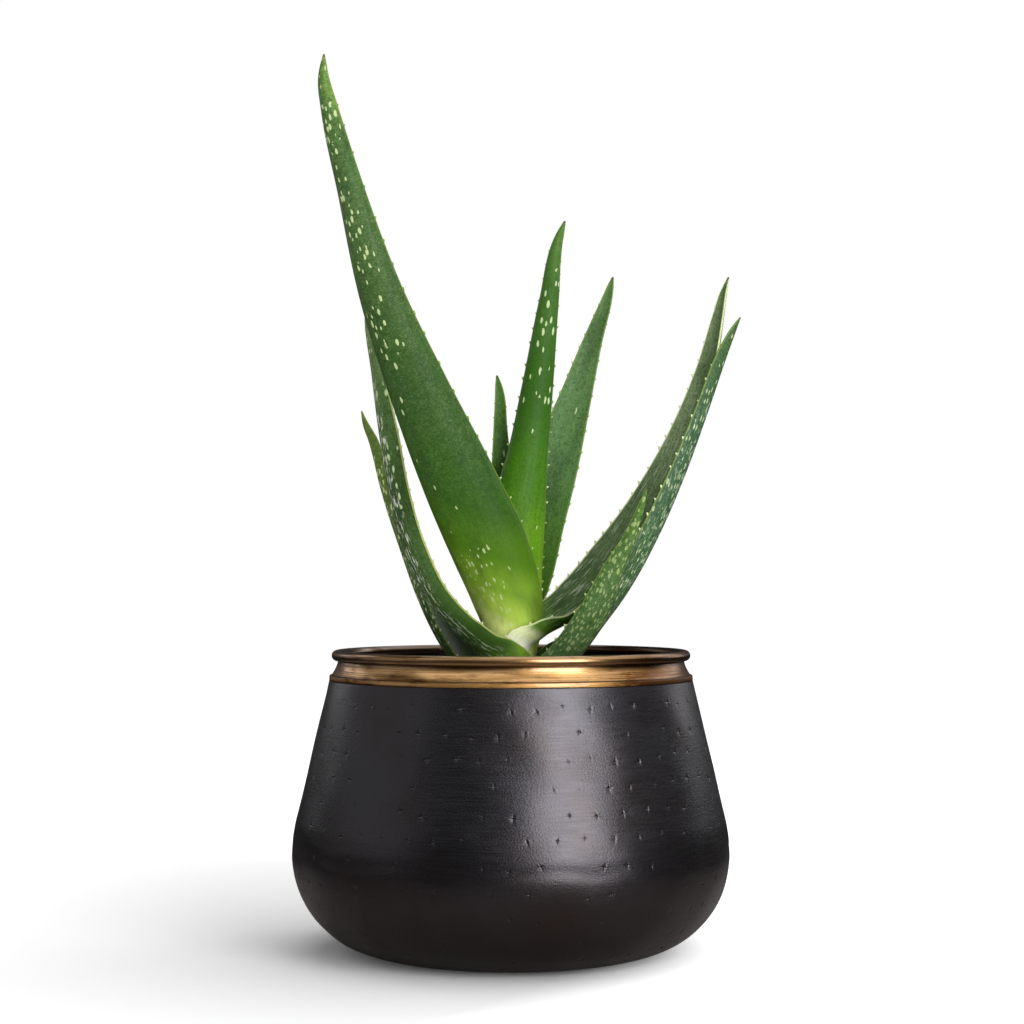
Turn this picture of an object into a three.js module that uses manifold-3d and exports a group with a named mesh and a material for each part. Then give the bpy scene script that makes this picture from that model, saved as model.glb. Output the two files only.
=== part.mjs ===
import * as THREE from 'three';
import * as BufferGeometryUtils from 'three/addons/utils/BufferGeometryUtils.js';
import Module from 'manifold-3d';

// Potted aloe vera: nine leaves on a short stem, in soil in a plastic nursery pot,
// set inside a hammered black metal planter with an antique brass collar.
// Millimetres, +Z up. The origin is the centre of the planter's flat base.

// Play kept between pieces that touch
const GAP = 0.3;

// Planter shell, hammered sheet metal
const BASE_RADIUS = 64;
const BELLY_RADIUS = 119.6;
const BELLY_HEIGHT = 54;
const BELLY_ROUND = 0.5;
const BOWL_FULLNESS = 0.9;
const SHOULDER_RADIUS = 117.8;
const SHOULDER_HEIGHT = 70.8;
const BODY_TOP_RADIUS = 99.5;
const BODY_TOP_HEIGHT = 148;
const WALL = 1.6;
const NECK_TOP_HEIGHT = 159.2;
const NECK_WALL = 1.4;
const NECK_PLAY = 0.4;
const NECK_ROOT = 3;

// Planter collar, a thin brass ring with a rolled lip
const COLLAR_FOOT_HEIGHT = BODY_TOP_HEIGHT + GAP;
const COLLAR_WALL = 1.3;
const STRIP_RADIUS = 99.4;
const STRIP_TOP_RADIUS = 99;
const STRIP_HEIGHT = 2.5;
const STRIP_SWELL = 0.2;
const COVE_FOOT_RADIUS = 98.3;
const COVE_FOOT_HEIGHT = 151;
const COVE_CURVE = 19;
const COVE_FOOT_TURN = 218;
const COVE_TOP_TURN = 192;
const LIP_RADIUS = 95.4;
const LIP_HEIGHT = 161.5;
const LIP_TUBE = 2.8;

// Nursery pot, thin black plastic, standing on the planter's floor
const POT_FOOT_RADIUS = 57;
const POT_TOP_RADIUS = 83;
const POT_TOP_HEIGHT = 150;
const POT_BAND_HEIGHT = 12;
const POT_BAND_STEP = 2;
const POT_WALL = 1.6;
const DRAIN_HOLES = 6;
const DRAIN_RADIUS = 5;
const DRAIN_CIRCLE = 40;

// Soil
const SOIL_TOP = 133;
const SOIL_SWELL = 1.6;
const SOIL_RINGS = [0, 16, 30, 46, 62];

// Stem, a short woody foot that carries every leaf
const STEM_RADIUS = 8;
const STEM_FOOT = 96;
const STEM_FOOT_RADIUS = 4.4;
const STEM_TAPER = 14;
const STEM_SHOULDER = 148;
const STEM_CROWN = 156;
const STEM_CROWN_RADIUS = 6.4;
const STEM_TOP = 165;
const STEM_TOP_RADIUS = 3.2;

// Round pieces are turned in this many steps
const TURNS = 48;
const POT_TURNS = 36;
const STEM_TURNS = 16;
const BOWL_STEPS = 8;
const COVE_STEPS = 3;
const LIP_STEPS = 10;

// Leaves. Each row is a station, from foot to tip: x, y and z of the middle of the inner face,
// width round the section, thickness, fold (degrees that each margin turns up towards the
// inner face) and heading (degrees, where the inner face looks: 0 along +X, 90 along +Y).
const LEAF_ROWS = {
  leaf_left: [
    [-2, -7, 143, 34, 4, 88, 66],
    [-3.5, -12, 151.5, 36.5, 3.6, 88, 58],
    [-8.5, -16, 158, 35, 3.4, 72, 40],
    [-15.5, -18, 165, 33, 3.2, 52, 20],
    [-25.5, -18.5, 174.8, 32, 3.6, 45, 10],
    [-39.8, -17, 191.4, 31, 4.2, 42, 6],
    [-51.6, -12, 216, 29, 5, 41, 6],
    [-59.9, -5, 246.1, 26, 5.6, 38, 6],
    [-65.9, 4, 280, 22, 6.4, 36, 6],
    [-74, 15, 320, 14, 4, 30, 8],
    [-79.5, 22, 350, 6, 2.5, 26, 8],
    [-81.2, 24, 360.6, 0.6, 0.6, 20, 8],
  ],
  leaf_right: [
    [5.5, -2, 148, 32, 4, 88, 176],
    [6, -3, 158, 38, 4.2, 100, 182],
    [8, -4, 169, 40, 4.2, 98, 190],
    [15, -4, 175.5, 35, 4.2, 80, 198],
    [26, -2, 182.4, 28, 4.4, 60, 204],
    [40.6, -1, 194.2, 31, 5.4, 60, 208],
    [55, 1, 210.5, 33, 6, 50, 212],
    [77.8, 6, 243.6, 29, 5.5, 46, 214],
    [95.9, 9, 280.5, 22, 4.5, 42, 215],
    [109, 11, 319, 15, 3.6, 36, 215],
    [115.6, 12, 350, 8, 2, 32, 215],
    [118.2, 12, 363, 4, 1.6, 28, 215],
    [120.6, 12, 370.7, 0.6, 0.6, 20, 215],
  ],
  leaf_tall: [
    [1, -6, 150, 26, 4.5, 84, 82],
    [0, -7, 163, 30, 6, 62, 78],
    [-1, -8, 181, 38, 8, 48, 73],
    [-5.6, -11, 198, 43, 10, 42, 69],
    [-13.4, -17, 219, 46, 12, 38, 66],
    [-29, -29, 254, 43.6, 12, 36, 64],
    [-49, -43, 301, 35, 11, 34, 62],
    [-69, -57, 354, 24.3, 9, 32, 60],
    [-83, -68, 405, 14.3, 6.5, 30, 58],
    [-93, -76, 444.5, 9, 4.5, 28, 56],
    [-95.9, -79, 460, 5.5, 3, 26, 55],
    [-95.7, -81, 472, 0.6, 0.6, 20, 55],
  ],
  leaf_small_front: [
    [4, -9, 140.5, 15, 3.5, 66, 124],
    [13.5, -21, 148, 17, 4, 56, 124],
    [28.5, -33, 162, 18, 4, 48, 126],
    [44, -40, 184, 18, 4, 42, 126],
    [54.5, -43, 208, 12, 4, 36, 124],
    [62, -45, 224, 6.5, 3.2, 32, 122],
    [68.7, -46, 242, 2.4, 2, 28, 120],
    [71.5, -46, 251, 0.6, 0.6, 20, 120],
  ],
  leaf_far_right: [
    [5.5, -2, 141, 26, 4.5, 84, 162],
    [15.5, -8, 150, 32, 5.2, 82, 164],
    [31, -16, 162.5, 34, 6, 58, 168],
    [45.4, -21, 181.7, 33, 6, 50, 170],
    [57.2, -25, 197.3, 30, 5.5, 44, 170],
    [75.6, -28, 229.7, 26, 4.8, 38, 170],
    [90.1, -29, 262.1, 22, 4.2, 34, 170],
    [102, -30, 294.1, 17, 3.8, 32, 170],
    [112.9, -30, 326, 9, 3.8, 28, 170],
    [118.8, -30, 337.6, 4.5, 2.2, 24, 170],
    [122.6, -30, 343.5, 0.6, 0.6, 20, 170],
  ],
  leaf_centre: [
    [0.5, 2, 157, 19, 4, 60, 95],
    [1, 4, 168, 24, 5, 44, 95],
    [1.5, 6.5, 186, 30, 6, 34, 95],
    [0.9, 9, 214, 34, 7, 28, 95],
    [4, 12, 241.5, 31, 7, 26, 95],
    [8.5, 14, 266.5, 23.4, 6.5, 26, 95],
    [14.6, 15, 308, 17, 5, 26, 95],
    [21.2, 14, 358, 10, 4, 26, 95],
    [26.2, 12, 391, 4.2, 2.5, 24, 95],
    [29.9, 11, 401.6, 0.6, 0.6, 20, 95],
  ],
  leaf_back: [
    [1.5, 9, 147, 22, 4, 80, 260],
    [1.8, 15, 161, 22, 4.5, 60, 262],
    [3, 20, 183, 28, 6, 44, 265],
    [7.5, 24.5, 208, 34, 7, 36, 265],
    [13.5, 28, 233.5, 33, 7, 32, 265],
    [23.5, 32, 264.5, 28, 6.5, 30, 265],
    [35.3, 36, 301.5, 18.5, 5.5, 28, 265],
    [46.7, 40, 339, 9.8, 4.5, 26, 265],
    [55.1, 42, 364, 4.3, 3, 24, 265],
    [58, 43, 375, 0.6, 0.6, 20, 265],
  ],
  leaf_young: [
    [0, 6, 160, 13, 3, 60, 270],
    [0, 11, 175, 16, 4, 50, 270],
    [-1, 17, 208, 16, 4.5, 42, 270],
    [-4.5, 23, 247.5, 13, 4.5, 36, 270],
    [-5.9, 27, 287, 6.8, 4, 32, 270],
    [-6.5, 29, 308.7, 3.6, 2.5, 28, 270],
    [-7.9, 30, 317.8, 0.6, 0.6, 20, 270],
  ],
  leaf_far_left: [
    [-6, 3, 141, 22, 3.5, 74, -30],
    [-14, 8, 146, 25, 4, 60, -30],
    [-24, 14, 154, 26, 4.5, 50, -30],
    [-35, 20, 169, 25, 4.5, 44, -27],
    [-48.2, 25, 194, 21, 4.5, 40, -14],
    [-58.6, 29, 222, 18, 4.5, 36, 4],
    [-69.4, 33, 253.4, 14, 4, 32, 6],
    [-77.4, 37, 282, 9, 3.4, 30, 8],
    [-82.3, 38, 292, 5, 2, 26, 8],
    [-84.5, 39, 298.4, 0.6, 0.6, 20, 8],
  ],
};

// Steps across one face of a leaf, least thickness at its margins, roundness of its outer face
const LEAF_ACROSS = 6;
const MARGIN_EDGE = 1;
const BELLY_POWER = 0.75;

// Margin teeth, short soft spines that lean towards the tip, one on each margin in each step
const TOOTH_SPACING = 12;
const TOOTH_LENGTH = 1.8;
const TOOTH_WIDTH = 2.4;
const TOOTH_FULL_LEAF = 18;
const TOOTH_LEAN = 0.5;
const TEETH_FROM = 22;
const TEETH_TO = 16;

const wasm = await Module();
wasm.setup();

// A closed mesh as a manifold solid
function toSolid(geometry) {
  const bare = geometry.clone();
  bare.deleteAttribute('normal');
  bare.deleteAttribute('uv');
  const merged = BufferGeometryUtils.mergeVertices(bare, 1e-4);
  const mesh = new wasm.Mesh({
    numProp: 3,
    vertProperties: new Float32Array(merged.attributes.position.array),
    triVerts: new Uint32Array(merged.index.array),
  });
  return new wasm.Manifold(mesh);
}

// A manifold solid as a three.js geometry
function toGeometry(solid) {
  const mesh = solid.getMesh();
  const geometry = new THREE.BufferGeometry();
  geometry.setAttribute('position', new THREE.BufferAttribute(mesh.vertProperties, 3));
  geometry.setIndex(new THREE.BufferAttribute(mesh.triVerts, 1));
  geometry.computeVertexNormals();
  return geometry;
}

// The largest of a solid's separate lumps
function largestLump(solid) {
  const lumps = solid.decompose();
  lumps.sort((a, b) => b.volume() - a.volume());
  return lumps[0];
}

// A solid turned about the Z axis from a profile of [radius, height] points
function turned(profile, turns) {
  const points = profile.map(([radius, height]) => new THREE.Vector2(radius, height));
  const geometry = new THREE.LatheGeometry(points, turns);
  geometry.rotateX(Math.PI / 2);
  return geometry;
}

// Points of an ellipse's arc, angles in degrees
function arc(centreR, centreZ, sizeR, sizeZ, from, to, steps) {
  const points = [];
  for (let i = 0; i <= steps; i += 1) {
    const angle = THREE.MathUtils.degToRad(from + ((to - from) * i) / steps);
    points.push([centreR + sizeR * Math.cos(angle), centreZ + sizeZ * Math.sin(angle)]);
  }
  return points;
}

// Outer line of the planter's body, from the flat base to the collar
function bodyLine(inset) {
  const width = BELLY_RADIUS - BASE_RADIUS - inset;
  const depth = BELLY_HEIGHT - inset;
  // A quarter of an ellipse, filled out a little between the base and the belly
  const bowl = arc(0, BELLY_HEIGHT, 1, depth, -90, 0, BOWL_STEPS).map(([reach, height]) => [
    BASE_RADIUS + width * Math.max(reach, 0) ** BOWL_FULLNESS,
    height,
  ]);
  return [
    ...bowl,
    [BELLY_RADIUS - BELLY_ROUND - inset, (BELLY_HEIGHT + SHOULDER_HEIGHT) / 2],
    [SHOULDER_RADIUS - inset, SHOULDER_HEIGHT],
    [BODY_TOP_RADIUS - inset, BODY_TOP_HEIGHT],
  ];
}

// Planter shell: bowl-shaped body with a narrow neck that follows the inside of the collar
function planterShell() {
  const outside = COLLAR_WALL + NECK_PLAY;
  const inside = outside + NECK_WALL;
  const [coveTop] = coveLine(0).at(-1);
  const outer = [
    ...bodyLine(0),
    [BODY_TOP_RADIUS - outside, BODY_TOP_HEIGHT + 0.1],
    ...coveLine(outside),
    [coveTop - outside, NECK_TOP_HEIGHT],
  ];
  const inner = [
    [coveTop - inside, NECK_TOP_HEIGHT],
    ...coveLine(inside).reverse(),
    [BODY_TOP_RADIUS - inside, BODY_TOP_HEIGHT - NECK_ROOT],
    ...bodyLine(WALL).slice(0, -1).reverse(),
  ];
  return turned([[0, 0], ...outer, ...inner, [0, WALL]], TURNS);
}

// Outer line of the collar's hollow curve, from the strip up to the lip
function coveLine(inset) {
  const foot = THREE.MathUtils.degToRad(COVE_FOOT_TURN);
  const centreR = COVE_FOOT_RADIUS - inset - COVE_CURVE * Math.cos(foot);
  const centreZ = COVE_FOOT_HEIGHT - COVE_CURVE * Math.sin(foot);
  return arc(centreR, centreZ, COVE_CURVE, COVE_CURVE, COVE_FOOT_TURN, COVE_TOP_TURN, COVE_STEPS);
}

// Planter collar: foot strip, hollow curve and rolled lip, one brass ring
function planterCollar() {
  const outside = [
    [STRIP_RADIUS, COLLAR_FOOT_HEIGHT],
    [STRIP_RADIUS + STRIP_SWELL, COLLAR_FOOT_HEIGHT + STRIP_HEIGHT / 3],
    [STRIP_TOP_RADIUS, COLLAR_FOOT_HEIGHT + STRIP_HEIGHT],
    ...coveLine(0),
  ];
  const lip = arc(LIP_RADIUS, LIP_HEIGHT, LIP_TUBE, LIP_TUBE, -72, 236, LIP_STEPS);
  const inside = [
    ...coveLine(COLLAR_WALL).reverse(),
    [STRIP_RADIUS - COLLAR_WALL, COLLAR_FOOT_HEIGHT],
  ];
  const profile = [...outside, ...lip, ...inside];
  profile.push(profile[0]);
  return turned(profile, TURNS);
}

// Nursery pot: tapered cup with a stepped rim band and drain holes
function nurseryPot() {
  const foot = WALL + GAP;
  const bandFoot = POT_TOP_HEIGHT - POT_BAND_HEIGHT;
  const slope = (POT_TOP_RADIUS - POT_FOOT_RADIUS) / (POT_TOP_HEIGHT - foot);
  const radiusAt = (height) => POT_FOOT_RADIUS + slope * (height - foot);
  const profile = [
    [0, foot],
    [POT_FOOT_RADIUS, foot],
    [radiusAt(bandFoot), bandFoot],
    [radiusAt(bandFoot) + POT_BAND_STEP, bandFoot],
    [POT_TOP_RADIUS + POT_BAND_STEP, POT_TOP_HEIGHT],
    [POT_TOP_RADIUS + POT_BAND_STEP - POT_WALL, POT_TOP_HEIGHT],
    [radiusAt(bandFoot) + POT_BAND_STEP - POT_WALL, bandFoot + POT_WALL],
    [radiusAt(bandFoot) - POT_WALL, bandFoot + POT_WALL],
    [POT_FOOT_RADIUS - POT_WALL, foot + POT_WALL],
    [0, foot + POT_WALL],
  ];
  let cup = toSolid(turned(profile, POT_TURNS));
  for (let i = 0; i < DRAIN_HOLES; i += 1) {
    const angle = (i / DRAIN_HOLES) * Math.PI * 2;
    const drill = new THREE.CylinderGeometry(DRAIN_RADIUS, DRAIN_RADIUS, POT_WALL * 4, 10);
    drill.rotateX(Math.PI / 2);
    drill.translate(DRAIN_CIRCLE * Math.cos(angle), DRAIN_CIRCLE * Math.sin(angle), foot + POT_WALL / 2);
    cup = cup.subtract(toSolid(drill));
  }
  return toGeometry(cup);
}

// Stem: tapers to its root in the soil and to the growing point, grown on all sides by a margin
function stem(margin) {
  const profile = [
    [0, STEM_FOOT - margin],
    [STEM_FOOT_RADIUS + margin, STEM_FOOT - margin],
    [STEM_RADIUS + margin, STEM_FOOT + STEM_TAPER],
    [STEM_RADIUS + margin, STEM_SHOULDER],
    [STEM_CROWN_RADIUS + margin, STEM_CROWN],
    [STEM_TOP_RADIUS + margin, STEM_TOP + margin],
    [0, STEM_TOP + margin],
  ];
  return turned(profile, STEM_TURNS);
}

// Soil: fills the nursery pot, with a gently uneven top and a plain hole for the stem
function soil() {
  const foot = WALL + GAP + POT_WALL + GAP;
  const slope = (POT_TOP_RADIUS - POT_FOOT_RADIUS) / (POT_TOP_HEIGHT - WALL - GAP);
  const radiusAt = (height) => POT_FOOT_RADIUS - POT_WALL - GAP * 1.5 + slope * (height - WALL - GAP);
  const edge = radiusAt(SOIL_TOP);
  const top = [...SOIL_RINGS, edge].map((radius) => [radius, SOIL_TOP]).reverse();
  const geometry = turned([[0, foot], [radiusAt(foot), foot], ...top], POT_TURNS);
  const position = geometry.attributes.position;
  for (let i = 0; i < position.count; i += 1) {
    const x = position.getX(i);
    const y = position.getY(i);
    const inside = Math.hypot(x, y) < edge - 1 && position.getZ(i) > SOIL_TOP - 1;
    if (inside) {
      const swell = Math.sin(x * 0.11 + 1.3) * Math.cos(y * 0.13 - 0.4);
      position.setZ(i, SOIL_TOP + SOIL_SWELL * swell);
    }
  }
  return toGeometry(toSolid(geometry).subtract(toSolid(stem(GAP))));
}

// A leaf's station values at a fraction of its length, on a smooth curve through its rows
function sampleRows(rows, fraction) {
  const lengths = [0];
  for (let i = 1; i < rows.length; i += 1) {
    const a = new THREE.Vector3(...rows[i - 1].slice(0, 3));
    const b = new THREE.Vector3(...rows[i].slice(0, 3));
    lengths.push(lengths[i - 1] + a.distanceTo(b));
  }
  const last = rows.length - 1;
  const total = lengths[last];
  const want = fraction * total;
  let k = 0;
  while (k < last - 1 && lengths[k + 1] < want) k += 1;
  const slopeAt = (i, c) => {
    const rise = (j) => (rows[j + 1][c] - rows[j][c]) / (lengths[j + 1] - lengths[j]);
    if (i === 0) return rise(0);
    if (i === last) return rise(last - 1);
    const before = lengths[i] - lengths[i - 1];
    const after = lengths[i + 1] - lengths[i];
    return (rise(i - 1) * after + rise(i) * before) / (before + after);
  };
  const span = lengths[k + 1] - lengths[k];
  const u = THREE.MathUtils.clamp((want - lengths[k]) / span, 0, 1);
  const h00 = 2 * u ** 3 - 3 * u ** 2 + 1;
  const h10 = u ** 3 - 2 * u ** 2 + u;
  const h01 = -2 * u ** 3 + 3 * u ** 2;
  const h11 = u ** 3 - u ** 2;
  return rows[k].map((value, c) => (
    h00 * value + h10 * span * slopeAt(k, c) + h01 * rows[k + 1][c] + h11 * span * slopeAt(k + 1, c)
  ));
}

// Length of a leaf along its rows
function leafLength(rows) {
  let length = 0;
  for (let i = 1; i < rows.length; i += 1) {
    const a = new THREE.Vector3(...rows[i - 1].slice(0, 3));
    length += a.distanceTo(new THREE.Vector3(...rows[i].slice(0, 3)));
  }
  return length;
}

// Place, directions and section sizes of a leaf at a fraction of its length
function leafFrame(rows, fraction) {
  const [x, y, z, width, thickness, fold, heading] = sampleRows(rows, fraction);
  const step = 0.004;
  const before = sampleRows(rows, Math.max(0, fraction - step));
  const after = sampleRows(rows, Math.min(1, fraction + step));
  const along = new THREE.Vector3(after[0] - before[0], after[1] - before[1], after[2] - before[2]);
  along.normalize();
  const turn = THREE.MathUtils.degToRad(heading);
  const inward = new THREE.Vector3(Math.cos(turn), Math.sin(turn), 0);
  inward.addScaledVector(along, -inward.dot(along)).normalize();
  const across = new THREE.Vector3().crossVectors(along, inward);
  return {
    centre: new THREE.Vector3(x, y, z),
    along,
    inward,
    across,
    half: Math.max(width, 0.4) / 2,
    thickness: Math.max(thickness, 0.4),
    fold: THREE.MathUtils.degToRad(Math.max(fold, 4)),
  };
}

// A point of the section: side from -1 to 1 across the leaf, lift towards the outer face
function sectionPoint(frame, side, lift, margin) {
  const radius = frame.half / frame.fold;
  const angle = frame.fold * side;
  const sway = radius * Math.sin(angle) + margin * side;
  const rise = radius * (1 - Math.cos(angle));
  return frame.centre
    .clone()
    .addScaledVector(frame.across, sway + lift * Math.sin(angle))
    .addScaledVector(frame.inward, rise - lift * Math.cos(angle));
}

// Thickness of the leaf at a place across it
function liftAt(frame, side) {
  const edge = Math.min(MARGIN_EDGE, frame.thickness * 0.6);
  return edge + (frame.thickness - edge) * Math.pow(1 - side * side, BELLY_POWER);
}

// Faces between two rows of points that run side by side up the leaf
function strip(faces, near, far) {
  let i = 0;
  let j = 0;
  while (i < near.length - 1 || j < far.length - 1) {
    const nearIsBehind = i / (near.length - 1) <= j / (far.length - 1);
    if (nearIsBehind && i < near.length - 1) {
      faces.push(near[i], near[i + 1], far[j]);
      i += 1;
    } else {
      faces.push(near[i], far[j + 1], far[j]);
      j += 1;
    }
  }
}

// Where a tooth stands in a step of the leaf: foot, head and point as fractions of the step
function toothPlace(step, side, size) {
  const wander = 0.16 * Math.sin(step * 2.4 + side);
  const half = (TOOTH_WIDTH * size) / TOOTH_SPACING / 2;
  return { foot: 0.5 + wander - half, head: 0.5 + wander + half, middle: 0.5 + wander };
}

// The closed loft of one leaf with its margin teeth, grown on all sides by a margin
function leafGeometry(rows, margin) {
  const ring = 2 * (LEAF_ACROSS + 1);
  const length = leafLength(rows);
  const steps = Math.round(length / TOOTH_SPACING);
  const points = [];
  const faces = [];
  const frames = [];
  for (let i = 0; i <= steps; i += 1) {
    const frame = leafFrame(rows, i / steps);
    frames.push(frame);
    for (let j = 0; j <= LEAF_ACROSS; j += 1) {
      const side = -1 + (2 * j) / LEAF_ACROSS;
      points.push(sectionPoint(frame, side, liftAt(frame, side) + margin, margin));
    }
    for (let j = LEAF_ACROSS; j >= 0; j -= 1) {
      const side = -1 + (2 * j) / LEAF_ACROSS;
      points.push(sectionPoint(frame, side, -margin, margin));
    }
  }
  // Adds a point between two others and gives its number
  const between = (a, b, share) => points.push(points[a].clone().lerp(points[b], share)) - 1;
  for (let i = 0; i < steps; i += 1) {
    const low = i * ring;
    const high = low + ring;
    const lines = [];
    for (let j = 0; j < ring; j += 1) lines.push([low + j, high + j]);
    const place = (length * (i + 0.5)) / steps;
    const toothed = place > TEETH_FROM && place < length - TEETH_TO;
    for (const side of [-1, 1]) {
      const outer = side > 0 ? LEAF_ACROSS : 0;
      const inner = side > 0 ? LEAF_ACROSS + 1 : ring - 1;
      const rim = side > 0 ? [outer, inner] : [inner, outer];
      if (!toothed) {
        strip(faces, lines[rim[0]], lines[rim[1]]);
        continue;
      }
      const frame = frames[i];
      const size = THREE.MathUtils.clamp((2 * frame.half) / TOOTH_FULL_LEAF, 0.5, 1);
      const { foot, head, middle } = toothPlace(i, side, size);
      const angle = frame.fold * side;
      const point = points[low + outer]
        .clone()
        .lerp(points[high + outer], middle)
        .lerp(points[low + inner].clone().lerp(points[high + inner], middle), 0.5)
        .addScaledVector(frame.across, Math.cos(angle) * side * (TOOTH_LENGTH * size + margin))
        .addScaledVector(frame.inward, Math.sin(angle) * side * (TOOTH_LENGTH * size + margin))
        .addScaledVector(frame.along, TOOTH_LEAN * TOOTH_LENGTH * size);
      const tip = points.push(point) - 1;
      const sides = rim.map((j) => {
        const [from, to] = lines[j];
        const start = between(from, to, foot);
        const end = between(from, to, head);
        lines[j] = [from, start, end, to];
        return { from, start, end, to };
      });
      const [near, far] = sides;
      strip(faces, [near.from, near.start], [far.from, far.start]);
      strip(faces, [near.end, near.to], [far.end, far.to]);
      faces.push(near.start, tip, far.start, far.start, tip, far.end);
      faces.push(far.end, tip, near.end, near.end, tip, near.start);
    }
    for (let j = 0; j < LEAF_ACROSS; j += 1) {
      strip(faces, lines[j], lines[j + 1]);
      strip(faces, lines[LEAF_ACROSS + 1 + j], lines[LEAF_ACROSS + 2 + j]);
    }
  }
  const last = steps * ring;
  for (let j = 0; j < LEAF_ACROSS; j += 1) {
    const mate = ring - 1 - j;
    faces.push(j, j + 1, mate, j + 1, mate - 1, mate);
    faces.push(last + j, last + mate, last + j + 1, last + j + 1, last + mate, last + mate - 1);
  }
  const geometry = new THREE.BufferGeometry();
  geometry.setFromPoints(points);
  geometry.setIndex(faces);
  return geometry;
}

// Leaves in the order they are laid: each later one is cut clear of those before it
function leafGeometries() {
  const made = {};
  let taken = toSolid(stem(GAP));
  for (const [name, rows] of Object.entries(LEAF_ROWS)) {
    const leaf = toSolid(leafGeometry(rows, 0));
    made[name] = toGeometry(largestLump(leaf.subtract(taken)));
    taken = taken.add(toSolid(leafGeometry(rows, GAP))).add(leaf);
  }
  return made;
}

// Finishes, read from the photograph
const finishes = {
  planter_shell: new THREE.MeshStandardMaterial({ color: 0x2b2827, roughness: 0.45, metalness: 0.6 }),
  planter_collar: new THREE.MeshStandardMaterial({ color: 0xa87b42, roughness: 0.32, metalness: 1 }),
  nursery_pot: new THREE.MeshStandardMaterial({ color: 0x161616, roughness: 0.6, metalness: 0 }),
  soil: new THREE.MeshStandardMaterial({ color: 0x2c1f16, roughness: 0.95, metalness: 0 }),
  stem: new THREE.MeshStandardMaterial({ color: 0x8f8a56, roughness: 0.7, metalness: 0 }),
  leaf: new THREE.MeshStandardMaterial({ color: 0x3f6b3a, roughness: 0.42, metalness: 0 }),
  young: new THREE.MeshStandardMaterial({ color: 0x5f9a1e, roughness: 0.42, metalness: 0 }),
};

function named(name, geometry, finish) {
  const mesh = new THREE.Mesh(geometry, finish);
  mesh.name = name;
  return mesh;
}

const planter = new THREE.Group();
planter.add(named('planter_shell', planterShell(), finishes.planter_shell));
planter.add(named('planter_collar', planterCollar(), finishes.planter_collar));

const plant = new THREE.Group();
plant.add(named('nursery_pot', nurseryPot(), finishes.nursery_pot));
plant.add(named('soil', soil(), finishes.soil));
plant.add(named('stem', stem(0), finishes.stem));
const youngLeaves = ['leaf_centre', 'leaf_young', 'leaf_small_front'];
for (const [name, geometry] of Object.entries(leafGeometries())) {
  plant.add(named(name, geometry, youngLeaves.includes(name) ? finishes.young : finishes.leaf));
}

const aloe = new THREE.Group();
aloe.add(planter, plant);

export default aloe;
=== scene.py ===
import math
import random

import bmesh
import bpy
import numpy as np
from mathutils import Matrix, Vector


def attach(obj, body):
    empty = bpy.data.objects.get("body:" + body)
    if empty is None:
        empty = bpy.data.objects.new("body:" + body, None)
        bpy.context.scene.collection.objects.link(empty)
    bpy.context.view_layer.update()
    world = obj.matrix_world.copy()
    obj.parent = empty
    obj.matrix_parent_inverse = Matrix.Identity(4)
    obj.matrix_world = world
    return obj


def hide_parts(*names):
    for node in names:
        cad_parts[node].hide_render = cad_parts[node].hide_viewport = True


# Potted aloe vera: nine leaves in a nursery pot, inside a hammered black planter with a brass collar.
# The frame is in metres, +Z up and +Y away from the viewer, from the centre of the planter's base.
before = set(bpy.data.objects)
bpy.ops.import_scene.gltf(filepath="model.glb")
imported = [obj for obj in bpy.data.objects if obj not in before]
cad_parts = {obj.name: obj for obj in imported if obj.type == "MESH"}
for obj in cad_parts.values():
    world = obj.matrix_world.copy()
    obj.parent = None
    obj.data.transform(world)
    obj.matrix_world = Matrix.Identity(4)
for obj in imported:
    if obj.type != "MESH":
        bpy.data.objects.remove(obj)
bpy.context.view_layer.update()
scene = bpy.context.scene
MM = 0.001

# Camera
# A 76 mm lens, level, at the height of the leaves' lower third. The frame is moved up a little
# instead of tilting the camera, so upright lines stay upright.
CAMERA_DISTANCE = 1189
CAMERA_HEIGHT = 205.4
CAMERA_LENS = 76.1
CAMERA_SENSOR = 36
FRAME_UP = 0.0615
FRAME_ASIDE = 0.001
camera_data = bpy.data.cameras.new("photo_camera")
camera_data.lens = CAMERA_LENS
camera_data.sensor_width = CAMERA_SENSOR
camera_data.shift_x = FRAME_ASIDE
camera_data.shift_y = FRAME_UP
camera_data.clip_start = 0.05
camera_data.clip_end = 50
camera = bpy.data.objects.new("photo_camera", camera_data)
camera.location = (0, -CAMERA_DISTANCE * MM, CAMERA_HEIGHT * MM)
camera.rotation_euler = (math.radians(90), 0, 0)
scene.collection.objects.link(camera)
scene.camera = camera

# Planter shell
# The bowl-shaped body is steel sheet, spun to shape, nicked all over with a chisel-edged hammer,
# and finished in satin black lacquer. Its narrow neck goes up inside the collar.
BASE_RADIUS = 64
BELLY_RADIUS = 119.6
BELLY_HEIGHT = 54
BELLY_ROUND = 0.5
BOWL_FULLNESS = 0.9
SHOULDER_RADIUS = 117.8
SHOULDER_HEIGHT = 70.8
BODY_TOP_RADIUS = 99.5
BODY_TOP_HEIGHT = 148
WALL = 1.6
NECK_TOP_HEIGHT = 159.2
NECK_WALL = 1.4
NECK_PLAY = 0.4
NECK_ROOT = 3
COLLAR_WALL = 1.3
COVE_FOOT = (98.3, 151)
COVE_CURVE = 19
COVE_TURNS = (218, 192)
SECTORS = 12
SHELL_TURNS = 600
SHELL_ROWS = 132
SHELL_SOFTENING = 2.5
BROWNED_BELOW = (66, 30)

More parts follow.
